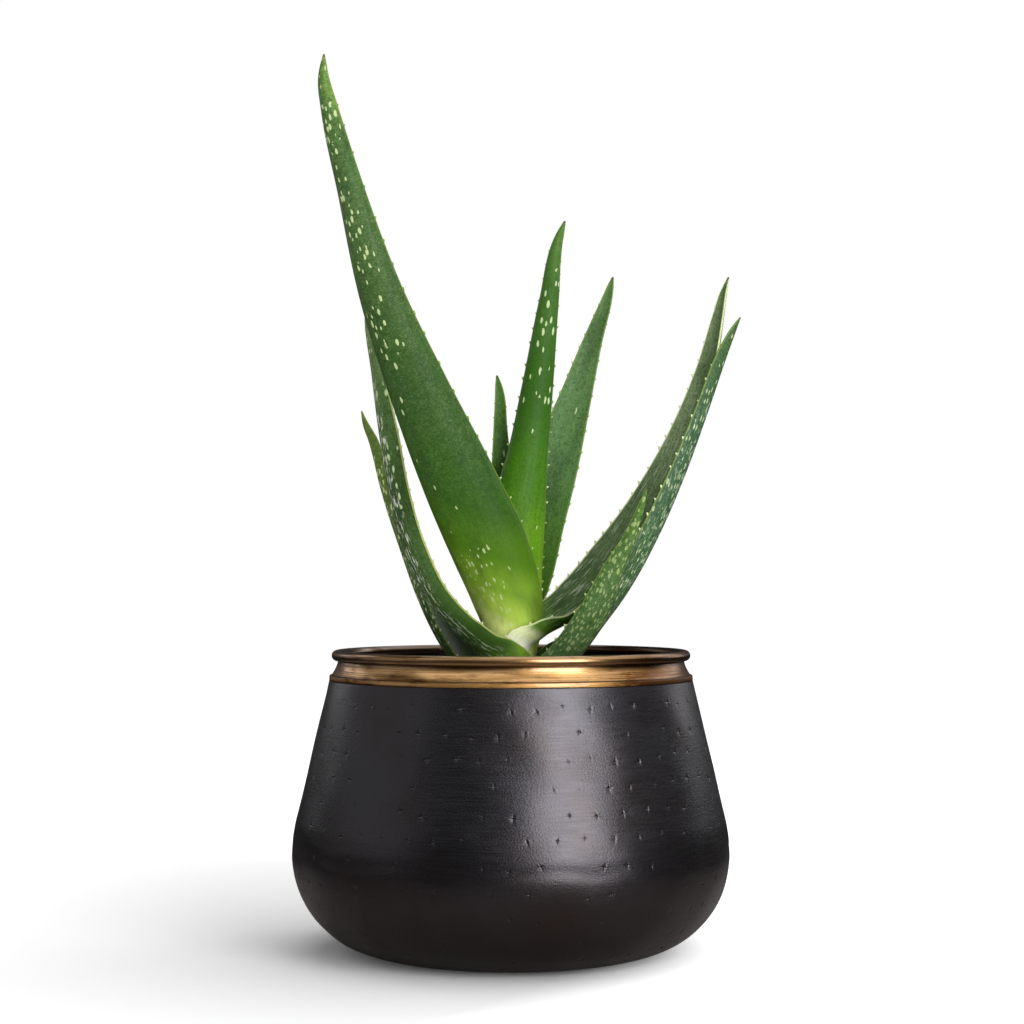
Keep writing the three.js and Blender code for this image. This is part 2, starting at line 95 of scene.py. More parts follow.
# Each hammer mark is a short crease with a fine cross bar, and metal pushed up on one side of it
MARKS_AROUND = 48
MARK_ROWS_FROM = 12
MARK_ROW_PITCH = 13.4
MARK_WANDER = 0.13
MARK_TILT = 12
MARK_FORCE = (0.3, 1.0)
MARKS_LYING_SHARE = 0.12
MARKS_MISSED_SHARE = 0.25
MARK_TOP_MARGIN = 5
MARK_DEPTH = 0.34
MARK_CREASE = (0.45, 1.5)
MARK_BAR = (2.0, 0.4)
MARK_RIDGE = (0.8, 1.2)
MARK_RIDGE_ASIDE = 1.1
MARK_SHARES = (-1.0, -0.8, 0.6)

# Beating leaves the sheet slightly wavy, and one soft fold wanders round it low on the belly
WAVES = 9
WAVE_DEPTH = 0.13
WAVES_PER_TURN = (3, 22)
WAVE_CLIMB = 0.22
CALM_OVER_FOOT = 10
CALM_UNDER_COLLAR = 8
FOLD_HEIGHT = 57
FOLD_DEPTH = 0.22
FOLD_WIDTH = 3.4
FOLD_WANDER = 1.6
FOLD_FADE = 0.3
FOLD_FADES = 5
FOLD_FADE_TURN = 2

# Only the outer face is beaten, between its foot and the collar's seat
OUTER_FACE_WITHIN = 0.4
FOOT_EDGE = 0.02
COLLAR_SEAT = 0.5


def linear(colour):
    """An sRGB hex colour as linear red, green, blue and alpha."""
    parts = [int(colour[i : i + 2], 16) / 255 for i in (1, 3, 5)]
    return tuple(p / 12.92 if p <= 0.04045 else ((p + 0.055) / 1.055) ** 2.4 for p in parts) + (1.0,)


def add(tree, kind, inputs=(), **settings):
    """Adds a node with its settings and links, and returns its outputs. Its inputs are given in
    order or by socket, and each is a plain value or another node's output."""
    node = tree.nodes.new("ShaderNode" + kind)
    for key, value in settings.items():
        setattr(node, key, value)
    if not isinstance(inputs, dict):
        inputs = dict(enumerate(inputs))
    for key, value in inputs.items():
        if isinstance(value, bpy.types.NodeSocket):
            tree.links.new(value, node.inputs[key])
        else:
            node.inputs[key].default_value = value
    return node.outputs


def new_material(name):
    """An empty node material and its tree."""
    material = bpy.data.materials.new(name)
    material.use_nodes = True
    material.node_tree.nodes.clear()
    return material, material.node_tree


def spun(profile, turns, closed=False):
    """A shape spun about the Z axis from a profile of [radius, height] points in millimetres."""
    bm = bmesh.new()
    verts = [bm.verts.new((radius * MM, 0, height * MM)) for radius, height in profile]
    edges = [bm.edges.new(pair) for pair in zip(verts, verts[1:])]
    if closed:
        edges.append(bm.edges.new((verts[-1], verts[0])))
    # One twelfth is spun and then copied round, which is much quicker than one full spin
    around = {"cent": (0, 0, 0), "axis": (0, 0, 1)}
    sector = math.tau / SECTORS
    bmesh.ops.spin(bm, geom=verts + edges, angle=sector, steps=turns // SECTORS, **around)
    made = bm.verts[:] + bm.edges[:] + bm.faces[:]
    rest = {"angle": sector * (SECTORS - 1), "steps": SECTORS - 1}
    bmesh.ops.spin(bm, geom=made, use_duplicate=True, **rest, **around)
    bmesh.ops.remove_doubles(bm, verts=bm.verts, dist=2e-6)
    bmesh.ops.recalc_face_normals(bm, faces=bm.faces)
    return bm


def as_piece(bm, name, material, crease=None):
    """A named, smooth-shaded piece made of a mesh, with its material."""
    mesh = bpy.data.meshes.new(name)
    bm.to_mesh(mesh)
    bm.free()
    mesh.shade_smooth()
    if crease:
        mesh.set_sharp_from_angle(angle=math.radians(crease))
    mesh.materials.append(material)
    piece = bpy.data.objects.new(name, mesh)
    scene.collection.objects.link(piece)
    return piece


def points_of(mesh):
    """The places of a mesh's vertices, in millimetres."""
    flat = np.empty(len(mesh.vertices) * 3)
    mesh.vertices.foreach_get("co", flat)
    return flat.reshape(-1, 3) / MM


def body_line(inset, steps):
    """The body's profile from its flat base to the collar, moved in by a wall's thickness."""
    turn = np.radians(np.linspace(-90, 0, steps + 1))
    bowl = np.column_stack([
        BASE_RADIUS + (BELLY_RADIUS - BASE_RADIUS - inset) * np.cos(turn).clip(0) ** BOWL_FULLNESS,
        BELLY_HEIGHT + (BELLY_HEIGHT - inset) * np.sin(turn),
    ])
    side = [
        [BELLY_RADIUS - BELLY_ROUND - inset, (BELLY_HEIGHT + SHOULDER_HEIGHT) / 2],
        [SHOULDER_RADIUS - inset, SHOULDER_HEIGHT],
        [BODY_TOP_RADIUS - inset, BODY_TOP_HEIGHT],
    ]
    return np.vstack([bowl, side])


def resampled(line, count):
    """A profile at an even spacing, and the distance of each of its points from the first."""
    run = np.concatenate([[0], np.cumsum(np.linalg.norm(np.diff(line, axis=0), axis=1))])
    places = np.linspace(0, run[-1], count)
    return np.column_stack([np.interp(places, run, line[:, c]) for c in (0, 1)]), places


def softened(line, reach, count):
    """A profile with its corners eased over a reach either side, its two ends kept."""
    fine, places = resampled(line, 1200)
    width = int(reach / places[1])
    eased = fine.copy()
    for i in range(1, len(fine) - 1):
        near = min(width, i, len(fine) - 1 - i)
        eased[i] = fine[i - near : i + near + 1].mean(axis=0)
    return resampled(eased, count)


def cove_line(inset, steps):
    """The collar's hollow curve, from its strip up to its lip, moved in by a wall's thickness."""
    turn = np.radians(np.linspace(*COVE_TURNS, steps + 1))
    return np.column_stack([
        COVE_FOOT[0] - inset + COVE_CURVE * (np.cos(turn) - np.cos(turn[0])),
        COVE_FOOT[1] + COVE_CURVE * (np.sin(turn) - np.sin(turn[0])),
    ])


def mark_shapes():
    """A hammer mark's crease, cross bar and pushed-up metal: each one's share, size and offset."""
    return zip(MARK_SHARES, (MARK_CREASE, MARK_BAR, MARK_RIDGE), (0, 0, MARK_RIDGE_ASIDE))


def black_lacquered_steel():
    """Satin black lacquer over brushed, hammered steel: a soft sheen with fine level lines."""
    material, tree = new_material("black_lacquered_steel")
    place = add(tree, "TexCoord")["Object"]
    # Brushing lines about 0.8 mm apart, drawn that coarse to show, run level round the body
    stretched = add(tree, "Mapping", {"Vector": place, "Scale": (60, 60, 1250)})[0]
    brushing = add(tree, "TexNoise", {"Vector": stretched, "Scale": 1, "Detail": 3, "Roughness": 0.6})[0]
    # Grain of the lacquer, about 0.4 mm, drawn about 1 mm to show
    grain = add(tree, "TexNoise", {"Vector": place, "Scale": 1000, "Detail": 2, "Roughness": 0.7})[0]
    # Worn and brownish clouds, 30 to 60 mm across, and a browner underside
    cloud = add(tree, "TexNoise", {"Vector": place, "Scale": 24, "Detail": 4, "Roughness": 0.6})[0]
    brown = add(tree, "MapRange", [cloud, 0.42, 0.72, 0.0, 0.45])[0]
    height = add(tree, "SeparateXYZ", [place])["Z"]
    start, end = BROWNED_BELOW
    under = [height, start * MM, end * MM, 0.0, 0.4]
    under = add(tree, "MapRange", under, interpolation_type="SMOOTHSTEP")[0]
    brown = add(tree, "Math", [brown, under], operation="ADD", use_clamp=True)[0]
    colour = {0: brown, 6: linear("#4b494d"), 7: linear("#433935")}
    colour = add(tree, "Mix", colour, data_type="RGBA")[2]
    # The hammer marks, in each mark's own millimetres
    mark = add(tree, "UVMap", uv_map="marks")[0]
    nick = 0.0
    for share, (wide, tall), aside in mark_shapes():
        moved = {"Vector": mark, "Location": (-aside / wide, 0, 0), "Scale": (1 / wide, 1 / tall, 0)}
        local = add(tree, "Mapping", moved)[0]
        square = add(tree, "VectorMath", [local, local], operation="DOT_PRODUCT")["Value"]
        minus = add(tree, "Math", [square, -1.0], operation="MULTIPLY")[0]
        shape = add(tree, "Math", [minus], operation="EXPONENT")[0]
        nick = add(tree, "Math", [shape, share, nick], operation="MULTIPLY_ADD")[0]
    force = add(tree, "Attribute", attribute_name="mark_strength")["Fac"]
    nick = add(tree, "Math", [nick, force], operation="MULTIPLY")[0]
    normal = {}
    for relief, strength, depth in (
        (nick, 1.0, MARK_DEPTH * 0.6),
        (brushing, 0.5, 0.08),
        (grain, 0.5, 0.2),
    ):
        bump = {"Height": relief, "Strength": strength, "Distance": depth * MM, **normal}
        normal = {"Normal": add(tree, "Bump", bump)[0]}
    rough = add(tree, "MapRange", [brushing, 0.3, 0.7, 0.29, 0.38])[0]
    finish = {"Base Color": colour, "Metallic": 1.0, "Roughness": rough, **normal}
    shader = add(tree, "BsdfPrincipled", finish)[0]
    add(tree, "OutputMaterial", [shader])
    return material


outer_line, outer_run = softened(body_line(0, 60), SHELL_SOFTENING, SHELL_ROWS)
neck_outside = COLLAR_WALL + NECK_PLAY
neck_inside = neck_outside + NECK_WALL
cove_top = cove_line(0, 1)[-1, 0]
shell_profile = np.vstack([
    [[0, 0], [BASE_RADIUS * 0.5, 0]],
    outer_line,
    [[BODY_TOP_RADIUS - neck_outside, BODY_TOP_HEIGHT + 0.1]],
    cove_line(neck_outside, 3),
    [[cove_top - neck_outside, NECK_TOP_HEIGHT]],
    [[cove_top - neck_inside, NECK_TOP_HEIGHT]],
    cove_line(neck_inside, 3)[::-1],
    [[BODY_TOP_RADIUS - neck_inside, BODY_TOP_HEIGHT - NECK_ROOT]],
    body_line(WALL, 7)[:-1][::-1],
    [[0, WALL]],
])
shell_mesh = spun(shell_profile, SHELL_TURNS)
shell = as_piece(shell_mesh, "hammered_shell", black_lacquered_steel(), crease=40)

# Every mark's angle, place up the profile, tilt and force
draw = random.Random(7)
marks = []
for row in range(int((outer_run[-1] - MARK_ROWS_FROM) / MARK_ROW_PITCH) + 1):
    for k in range(MARKS_AROUND):
        turn = (k + 0.5 * (row % 2) + draw.uniform(-MARK_WANDER, MARK_WANDER)) * math.tau / MARKS_AROUND
        run = MARK_ROWS_FROM + (row + draw.uniform(-MARK_WANDER, MARK_WANDER)) * MARK_ROW_PITCH
        tilt = draw.gauss(0, MARK_TILT) + (90 if draw.random() < MARKS_LYING_SHARE else 0)
        force = draw.uniform(*MARK_FORCE) if draw.random() > MARKS_MISSED_SHARE else 0.0
        marks.append([turn, min(run, outer_run[-1] - MARK_TOP_MARGIN), math.radians(tilt), force])
marks = np.array(marks)
mark_radius = np.interp(marks[:, 1], outer_run, outer_line[:, 0])
mark_points = np.column_stack([
    mark_radius * np.cos(marks[:, 0]),
    mark_radius * np.sin(marks[:, 0]),
    np.interp(marks[:, 1], outer_run, outer_line[:, 1]),
])


def nearest_mark(points):
    """The number of the hammer mark nearest to each point, found in batches to save memory."""
    found = []
    for batch in np.array_split(points, 40):
        gap = (mark_points**2).sum(axis=1) - 2 * batch @ mark_points.T
        found.append(gap.argmin(axis=1))
    return np.concatenate(found)


def mark_place(points, chosen):
    """Each point's place in the frame of its mark: millimetres across and along the crease."""
    turn = np.arctan2(points[:, 1], points[:, 0]) - marks[chosen, 0]
    turn = (turn + math.pi) % math.tau - math.pi
    level = turn * np.hypot(points[:, 0], points[:, 1])
    run = np.interp(points[:, 2], outer_line[:, 1], outer_run) - marks[chosen, 1]
    tilt = marks[chosen, 2]
    return np.column_stack([
        level * np.cos(tilt) + run * np.sin(tilt), run * np.cos(tilt) - level * np.sin(tilt)
    ])


mesh = shell.data
points = points_of(mesh)
height = points[:, 2]
turn = np.arctan2(points[:, 1], points[:, 0])
off_line = np.hypot(points[:, 0], points[:, 1]) - np.interp(height, outer_line[:, 1], outer_line[:, 0])
on_outside = (height > FOOT_EDGE) & (height < BODY_TOP_HEIGHT - COLLAR_SEAT)
on_outside &= abs(off_line) < OUTER_FACE_WITHIN
chosen = nearest_mark(points)
local = mark_place(points, chosen)
lift = np.zeros(len(points))
for share, size, aside in mark_shapes():
    lift += share * np.exp(-(((local - [aside, 0]) / size) ** 2).sum(axis=1))
lift *= MARK_DEPTH * marks[chosen, 3]
wave = np.zeros(len(points))
for _ in range(WAVES):
    around = draw.randint(*WAVES_PER_TURN)
    climb = draw.uniform(-WAVE_CLIMB, WAVE_CLIMB)
    wave += np.sin(around * turn + climb * height + draw.uniform(0, math.tau))
wave /= math.sqrt(WAVES)
off_fold = (height - FOLD_HEIGHT - FOLD_WANDER * wave) / FOLD_WIDTH
fading = 1 - FOLD_FADE + FOLD_FADE * np.sin(FOLD_FADES * turn + FOLD_FADE_TURN)
lift -= FOLD_DEPTH * np.exp(-(off_fold**2)) * fading
calm = np.clip(height / CALM_OVER_FOOT, 0, 1)
calm *= np.clip((BODY_TOP_HEIGHT - height) / CALM_UNDER_COLLAR, 0, 1)
lift += WAVE_DEPTH * wave * calm
lift = np.where(on_outside, lift, 0)
slope = np.gradient(outer_line, axis=0)
slope /= np.linalg.norm(slope, axis=1)[:, None]
out_flat = lift * np.interp(height, outer_line[:, 1], slope[:, 1])
out_up = -lift * np.interp(height, outer_line[:, 1], slope[:, 0])
points += np.column_stack([out_flat * np.cos(turn), out_flat * np.sin(turn), out_up])
mesh.vertices.foreach_set("co", (points * MM).ravel())

# Every face's corners share the frame of the mark nearest to its centre, which the steel reads
corner_vertex = np.empty(len(mesh.loops), int)
mesh.loops.foreach_get("vertex_index", corner_vertex)
face_size = np.empty(len(mesh.polygons), int)
mesh.polygons.foreach_get("loop_total", face_size)
face_start = np.empty(len(mesh.polygons), int)
mesh.polygons.foreach_get("loop_start", face_start)
corners = points[corner_vertex]
centres = np.add.reduceat(corners, face_start) / face_size[:, None]
chosen = np.repeat(nearest_mark(centres), face_size)
marks_map = mesh.uv_layers.new(name="marks")
marks_map.uv.foreach_set("vector", mark_place(corners, chosen).ravel())
strength = mesh.attributes.new("mark_strength", "FLOAT", "CORNER")
strength.data.foreach_set("value", marks[chosen, 3] * on_outside[corner_vertex])
mesh.update()
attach(shell, "root")
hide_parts("planter_shell")

# Planter collar
# One ring of thin brass with a foot strip, a hollow curve and a rolled lip, turned on a lathe and
# toned with an antique lacquer. It sits on the shell's shoulder, round its neck.
COLLAR_FOOT_HEIGHT = 148.3
STRIP_RADIUS = 99.4
STRIP_TAPER = 0.2
STRIP_HEIGHT = 2.5
STRIP_SWELL = 0.2
LIP_RADIUS = 95.4
LIP_HEIGHT = 161.5
LIP_TUBE = 2.8
LIP_TURNS = (-72, 236)
COLLAR_TURNS = 396

# Where the lacquer browns, and where painted shade darkens the sides: the millimetre at which each
# starts and is full, and how much
PAINTED_SHADE_TO_RIGHT = (42, 70, 0.85)
PAINTED_SHADE_TO_LEFT = (-66, -86, 0.5)
BROWN_STRIP = (151.2, 150.6, 0.1)
BROWN_LIP = (156.5, 158.5, 0.5)
BROWN_INSIDE = (95.8, 93.8, 0.8)
# Two dark lines, each at a height with an amount: painted shade in the crease under the lip's roll, and
# the strip's joint
GROOVES = ((159, 0.45), (151.1, 0.6))
GROOVE_WIDTH = (0.7, 0.2)


def antique_brass():
    """Lathe-brushed brass under a brown antique lacquer: warm gold with level lines and dark clouds."""
    material, tree = new_material("antique_brass")
    place = add(tree, "TexCoord")["Object"]
    # Lathe lines about 0.6 mm apart, drawn that coarse to show
    stretched = add(tree, "Mapping", {"Vector": place, "Scale": (9, 9, 1600)})[0]
    lines = add(tree, "TexNoise", {"Vector": stretched, "Scale": 1, "Detail": 4, "Roughness": 0.65})[0]
    # Clouds in the lacquer about 22 mm wide and 5 mm tall
    flat = add(tree, "Mapping", {"Vector": place, "Scale": (45, 45, 220)})[0]
    cloud = add(tree, "TexNoise", {"Vector": flat, "Scale": 1, "Detail": 6, "Roughness": 0.72})[0]
    toned = add(tree, "MapRange", [cloud, 0.5, 0.7, 0.0, 0.7])[0]
    streaked = add(tree, "MapRange", [lines, 0.5, 0.7, 0.0, 0.75])[0]
    dark = add(tree, "Math", [toned, streaked], operation="ADD", use_clamp=True)[0]
    # Painted shade darkens the sides to the right and left, so that only the front stays bright, and the
    # lacquer is browner on the foot strip
    across, _, height = add(tree, "SeparateXYZ", [place])
    for value, (start, end, amount) in (
        (across, PAINTED_SHADE_TO_RIGHT),
        (across, PAINTED_SHADE_TO_LEFT),
        (height, BROWN_STRIP),
    ):
        brown = add(tree, "MapRange", [value, start * MM, end * MM, 0.0, amount])[0]
        dark = add(tree, "Math", [dark, brown], operation="ADD", use_clamp=True)[0]
    colour = {0: dark, 6: linear("#d6a462"), 7: linear("#5a3717")}
    colour = add(tree, "Mix", colour, data_type="RGBA")[2]
    # It is thicker and browner on the lip, darker along a line under the lip's roll, painted shade in
    # that crease, and along the strip's joint, and darker inside the lip
    layers = [(height, BROWN_LIP, "#5c4230")]
    for middle, amount in GROOVES:
        off = add(tree, "Math", [height, middle * MM], operation="SUBTRACT")[0]
        off = add(tree, "Math", [off], operation="ABSOLUTE")[0]
        layers.append((off, (*GROOVE_WIDTH, amount), "#1e130b"))
    level = add(tree, "VectorMath", [place, (1, 1, 0)], operation="MULTIPLY")[0]
    radius = add(tree, "VectorMath", [level], operation="LENGTH")["Value"]
    layers.append((radius, BROWN_INSIDE, "#2a1c12"))
    for value, (start, end, amount), tone in layers:
        share = add(tree, "MapRange", [value, start * MM, end * MM, 0.0, amount])[0]
        colour = add(tree, "Mix", {0: share, 6: colour, 7: linear(tone)}, data_type="RGBA")[2]
    # The foot strip is dull, and the clear lacquer is only left where the brass is bright, so it thins
    # with the browning and with the painted shade at the sides
    rough = add(tree, "MapRange", [lines, 0.3, 0.7, 0.23, 0.37])[0]
    start, end, _ = BROWN_STRIP
    dull = add(tree, "MapRange", [height, start * MM, end * MM, 0.0, 0.25])[0]
    rough = add(tree, "Math", [rough, dull], operation="ADD")[0]
    clear = add(tree, "MapRange", [dark, 0.0, 0.8, 1.0, 0.0])[0]
    bumped = add(tree, "Bump", {"Height": lines, "Strength": 0.5, "Distance": 0.08 * MM})[0]
    brass = {"Base Color": colour, "Metallic": 1.0, "Roughness": rough, "Normal": bumped}
    coat = {"Coat Weight": clear, "Coat Roughness": 0.17, "Coat IOR": 1.6}
    shader = add(tree, "BsdfPrincipled", {**brass, **coat})[0]
    add(tree, "OutputMaterial", [shader])
    return material


strip_turn = np.radians(np.linspace(-90, 90, 9))
strip_rise = (1 + np.sin(strip_turn)) / 2
strip = np.column_stack([
    STRIP_RADIUS - STRIP_TAPER * strip_rise + STRIP_SWELL * np.cos(strip_turn),
    COLLAR_FOOT_HEIGHT + STRIP_HEIGHT * strip_rise,
])
lip_turn = np.radians(np.linspace(*LIP_TURNS, 31))
lip = np.column_stack([
    LIP_RADIUS + LIP_TUBE * np.cos(lip_turn), LIP_HEIGHT + LIP_TUBE * np.sin(lip_turn)
])
collar_profile = np.vstack([
    strip,
    cove_line(0, 12),
    lip,
    cove_line(COLLAR_WALL, 6)[::-1],
    [[STRIP_RADIUS - COLLAR_WALL, COLLAR_FOOT_HEIGHT]],
])
collar_mesh = spun(collar_profile, COLLAR_TURNS, closed=True)
collar = as_piece(collar_mesh, "brass_collar", antique_brass(), crease=50)
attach(collar, "root")
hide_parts("planter_collar")

# Nursery pot
# A thin black pot moulded in polypropylene, with a stepped rim band and six drain holes. It stands
# on the planter's floor and lifts out with the plant.
GAP = 0.3
POT_FOOT_RADIUS = 57
POT_TOP_RADIUS = 83
POT_TOP_HEIGHT = 150
POT_BAND_HEIGHT = 12
POT_BAND_STEP = 2
POT_WALL = 1.6
DRAIN_HOLES = 6
DRAIN_RADIUS = 5
DRAIN_CIRCLE = 40
POT_TURNS = 156


def moulded_polypropylene():
    """Injection-moulded black polypropylene: dull black with a fine spark-eroded grain."""
    material, tree = new_material("moulded_polypropylene")
    place = add(tree, "TexCoord")["Object"]
    # Mould grain about 0.6 mm, and patches of dust about 17 mm across
    grain = add(tree, "TexNoise", {"Vector": place, "Scale": 1600, "Detail": 2, "Roughness": 0.6})[0]
    dust = add(tree, "TexNoise", {"Vector": place, "Scale": 60, "Detail": 5, "Roughness": 0.7})[0]
    dusty = add(tree, "MapRange", [dust, 0.5, 0.8, 0.0, 0.5])[0]
    colour = {0: dusty, 6: linear("#141414"), 7: linear("#2c2723")}
    colour = add(tree, "Mix", colour, data_type="RGBA")[2]
    bumped = add(tree, "Bump", {"Height": grain, "Strength": 0.6, "Distance": 0.08 * MM})[0]
    finish = {"Base Color": colour, "Roughness": 0.55, "IOR": 1.49, "Normal": bumped}
    shader = add(tree, "BsdfPrincipled", finish)[0]
    add(tree, "OutputMaterial", [shader])
    return material


pot_foot = WALL + GAP
pot_slope = (POT_TOP_RADIUS - POT_FOOT_RADIUS) / (POT_TOP_HEIGHT - pot_foot)
band_foot = POT_TOP_HEIGHT - POT_BAND_HEIGHT
band_foot_radius = POT_FOOT_RADIUS + pot_slope * (band_foot - pot_foot)
pot_profile = [
    [0, pot_foot],
    [POT_FOOT_RADIUS, pot_foot],
    [band_foot_radius, band_foot],
    [band_foot_radius + POT_BAND_STEP, band_foot],
    [POT_TOP_RADIUS + POT_BAND_STEP, POT_TOP_HEIGHT],
    [POT_TOP_RADIUS + POT_BAND_STEP - POT_WALL, POT_TOP_HEIGHT],
    [band_foot_radius + POT_BAND_STEP - POT_WALL, band_foot + POT_WALL],
    [band_foot_radius - POT_WALL, band_foot + POT_WALL],
    [POT_FOOT_RADIUS - POT_WALL, pot_foot + POT_WALL],
    [0, pot_foot + POT_WALL],
]
pot = as_piece(spun(pot_profile, POT_TURNS), "plastic_pot", moulded_polypropylene())

# The drain holes are drilled with cylinders, which are then taken away
drills = bmesh.new()
for i in range(DRAIN_HOLES):
    turn = math.tau * i / DRAIN_HOLES
    place = (DRAIN_CIRCLE * math.cos(turn) * MM, DRAIN_CIRCLE * math.sin(turn) * MM, pot_foot * MM)
    bmesh.ops.create_cone(
        drills,
        cap_ends=True,
        segments=32,
        radius1=DRAIN_RADIUS * MM,
        radius2=DRAIN_RADIUS * MM,
        depth=POT_WALL * 4 * MM,
        matrix=Matrix.Translation(place),
    )
drill_piece = as_piece(drills, "drain_drills", pot.data.materials[0])
drilled = pot.modifiers.new("drain_holes", "BOOLEAN")
drilled.operation = "DIFFERENCE"
drilled.solver = "MANIFOLD"
drilled.object = drill_piece
bpy.context.view_layer.update()
shown = pot.evaluated_get(bpy.context.evaluated_depsgraph_get())
drilled_mesh = bpy.data.meshes.new_from_object(shown)
drilled_mesh.name = pot.name
pot.modifiers.clear()
pot.data = drilled_mesh
bpy.data.objects.remove(drill_piece)
pot.data.set_sharp_from_angle(angle=math.radians(35))
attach(pot, "root")
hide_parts("nursery_pot")

# Potting soil
# Peat and composted bark with loose crumbs of bark, pressed in round the stem. Its top swells
# gently and is uneven, and the crumbs lie on it.
SOIL_TOP = 133
SOIL_SWELL = 1.6
SOIL_SWELL_ALONG = (0.11, 1.3)
SOIL_SWELL_ACROSS = (0.13, -0.4)
SOIL_RIPPLES = 26
SOIL_RIPPLE_SIZE = (2.5, 9)
SOIL_RIPPLE_HEIGHT = 0.18
SOIL_TURNS = 180
SOIL_RINGS = 70
CRUMBS = 420
CRUMB_SIZE = (0.8, 2.6)
CRUMB_STRETCH = (0.5, 1.3)
CRUMBS_FROM_EDGE = 4


def potting_mix(name, dark, light):
    """Damp peat with bark fibre: dark brown, matt and crumbly, with paler dry bits."""
    material, tree = new_material(name)
    place = add(tree, "TexCoord")["Object"]
    # Crumbs about 3 mm across, and drier patches about 11 mm across
    crumb = add(tree, "TexNoise", {"Vector": place, "Scale": 350, "Detail": 6, "Roughness": 0.7})[0]
    dry = add(tree, "TexNoise", {"Vector": place, "Scale": 90, "Detail": 4, "Roughness": 0.6})[0]
    shade = add(tree, "Math", [crumb, dry], operation="MULTIPLY")[0]
    shade = add(tree, "MapRange", [shade, 0.18, 0.4, 0.0, 1.0])[0]
    colour = add(tree, "Mix", {0: shade, 6: linear(dark), 7: linear(light)}, data_type="RGBA")[2]
    bumped = add(tree, "Bump", {"Height": crumb, "Strength": 0.9, "Distance": 0.8 * MM})[0]
    finish = {"Base Color": colour, "Roughness": 0.95, "Normal": bumped}
    shader = add(tree, "BsdfPrincipled", finish)[0]
    add(tree, "OutputMaterial", [shader])
    return material


def soil_height(x, y):
    """Height of the soil's gentle swell, in millimetres."""
    (along, along_from), (across, across_from) = SOIL_SWELL_ALONG, SOIL_SWELL_ACROSS
    return SOIL_TOP + SOIL_SWELL * np.sin(x * along + along_from) * np.cos(y * across + across_from)


soil_foot = pot_foot + POT_WALL + GAP
soil_play = POT_WALL + GAP * 1.5
soil_foot_radius = POT_FOOT_RADIUS - soil_play + pot_slope * (soil_foot - pot_foot)
soil_edge = POT_FOOT_RADIUS - soil_play + pot_slope * (SOIL_TOP - pot_foot)
soil_profile = [[0, soil_foot], [soil_foot_radius, soil_foot]]
soil_profile += [[radius, SOIL_TOP] for radius in np.linspace(soil_edge, 0, SOIL_RINGS)]
soil_mesh = spun(soil_profile, SOIL_TURNS)
soil = as_piece(soil_mesh, "potting_mix", potting_mix("damp_peat", "#1b130d", "#4a3524"))
mesh = soil.data
points = points_of(mesh)
on_top = (points[:, 2] > SOIL_TOP - 1) & (np.hypot(points[:, 0], points[:, 1]) < soil_edge - 1)
rise = soil_height(points[:, 0], points[:, 1])
for _ in range(SOIL_RIPPLES):
    size = draw.uniform(*SOIL_RIPPLE_SIZE)
    turn = draw.uniform(0, math.tau)
    across = points[:, 0] * math.cos(turn) + points[:, 1] * math.sin(turn)
    rise += SOIL_RIPPLE_HEIGHT * np.sin(across * math.tau / size + draw.uniform(0, math.tau))
points[:, 2] = np.where(on_top, rise, points[:, 2])
mesh.vertices.foreach_set("co", (points * MM).ravel())
mesh.update()
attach(soil, "root")
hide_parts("soil")

crumbs = bmesh.new()
for _ in range(CRUMBS):
    reach = math.sqrt(draw.uniform(0.03, 1)) * (soil_edge - CRUMBS_FROM_EDGE)
    turn = draw.uniform(0, math.tau)
    x, y = reach * math.cos(turn), reach * math.sin(turn)
    size = draw.uniform(*CRUMB_SIZE)
    spot = Matrix.Translation((x * MM, y * MM, (soil_height(x, y) + size * 0.25) * MM))
    tumble = Matrix.Rotation(draw.uniform(0, math.tau), 4, Vector([draw.gauss(0, 1) for _ in range(3)]))
    stretch = Matrix.Diagonal([size * MM * draw.uniform(*CRUMB_STRETCH) for _ in range(3)] + [1])
    bmesh.ops.create_icosphere(crumbs, subdivisions=1, radius=1, matrix=spot @ tumble @ stretch)
crumb_piece = as_piece(crumbs, "bark_crumbs", potting_mix("bark_crumb", "#2a1c12", "#7a5c40"), crease=30)
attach(crumb_piece, "root")

# Stem
# The short, fleshy, partly woody foot that carries every leaf, ringed by the scars of shed leaves.
# Its lower half is in the soil.
STEM_RADIUS = 8
STEM_FOOT = 96
STEM_FOOT_RADIUS = 4.4
STEM_TAPER = 14
STEM_SHOULDER = 148
STEM_CROWN = (6.4, 156)
STEM_TOP = (3.2, 165)
STEM_SOFTENING = 3
SCAR_PITCH = 4
SCAR_RISE = 0.3
STEM_TURNS = 60
STEM_ROWS = 120


def stem_bark():
    """Corky skin of an old aloe stem: tan-green, matt, with thin rings where leaves were shed."""
    material, tree = new_material("stem_bark")
    place = add(tree, "TexCoord")["Object"]
    # Fibres about 1 mm wide and 8 mm long run up the stem
    fibre = add(tree, "Mapping", {"Vector": place, "Scale": (900, 900, 120)})[0]
    fibre = add(tree, "TexNoise", {"Vector": fibre, "Scale": 1, "Detail": 4, "Roughness": 0.65})[0]
    colour = {0: fibre, 6: linear("#6f6a3c"), 7: linear("#b4ab78")}
    colour = add(tree, "Mix", colour, data_type="RGBA")[2]
    bumped = add(tree, "Bump", {"Height": fibre, "Strength": 0.7, "Distance": 0.2 * MM})[0]
    finish = {"Base Color": colour, "Roughness": 0.7, "IOR": 1.45, "Normal": bumped}
    shader = add(tree, "BsdfPrincipled", finish)[0]
    add(tree, "OutputMaterial", [shader])
    return material


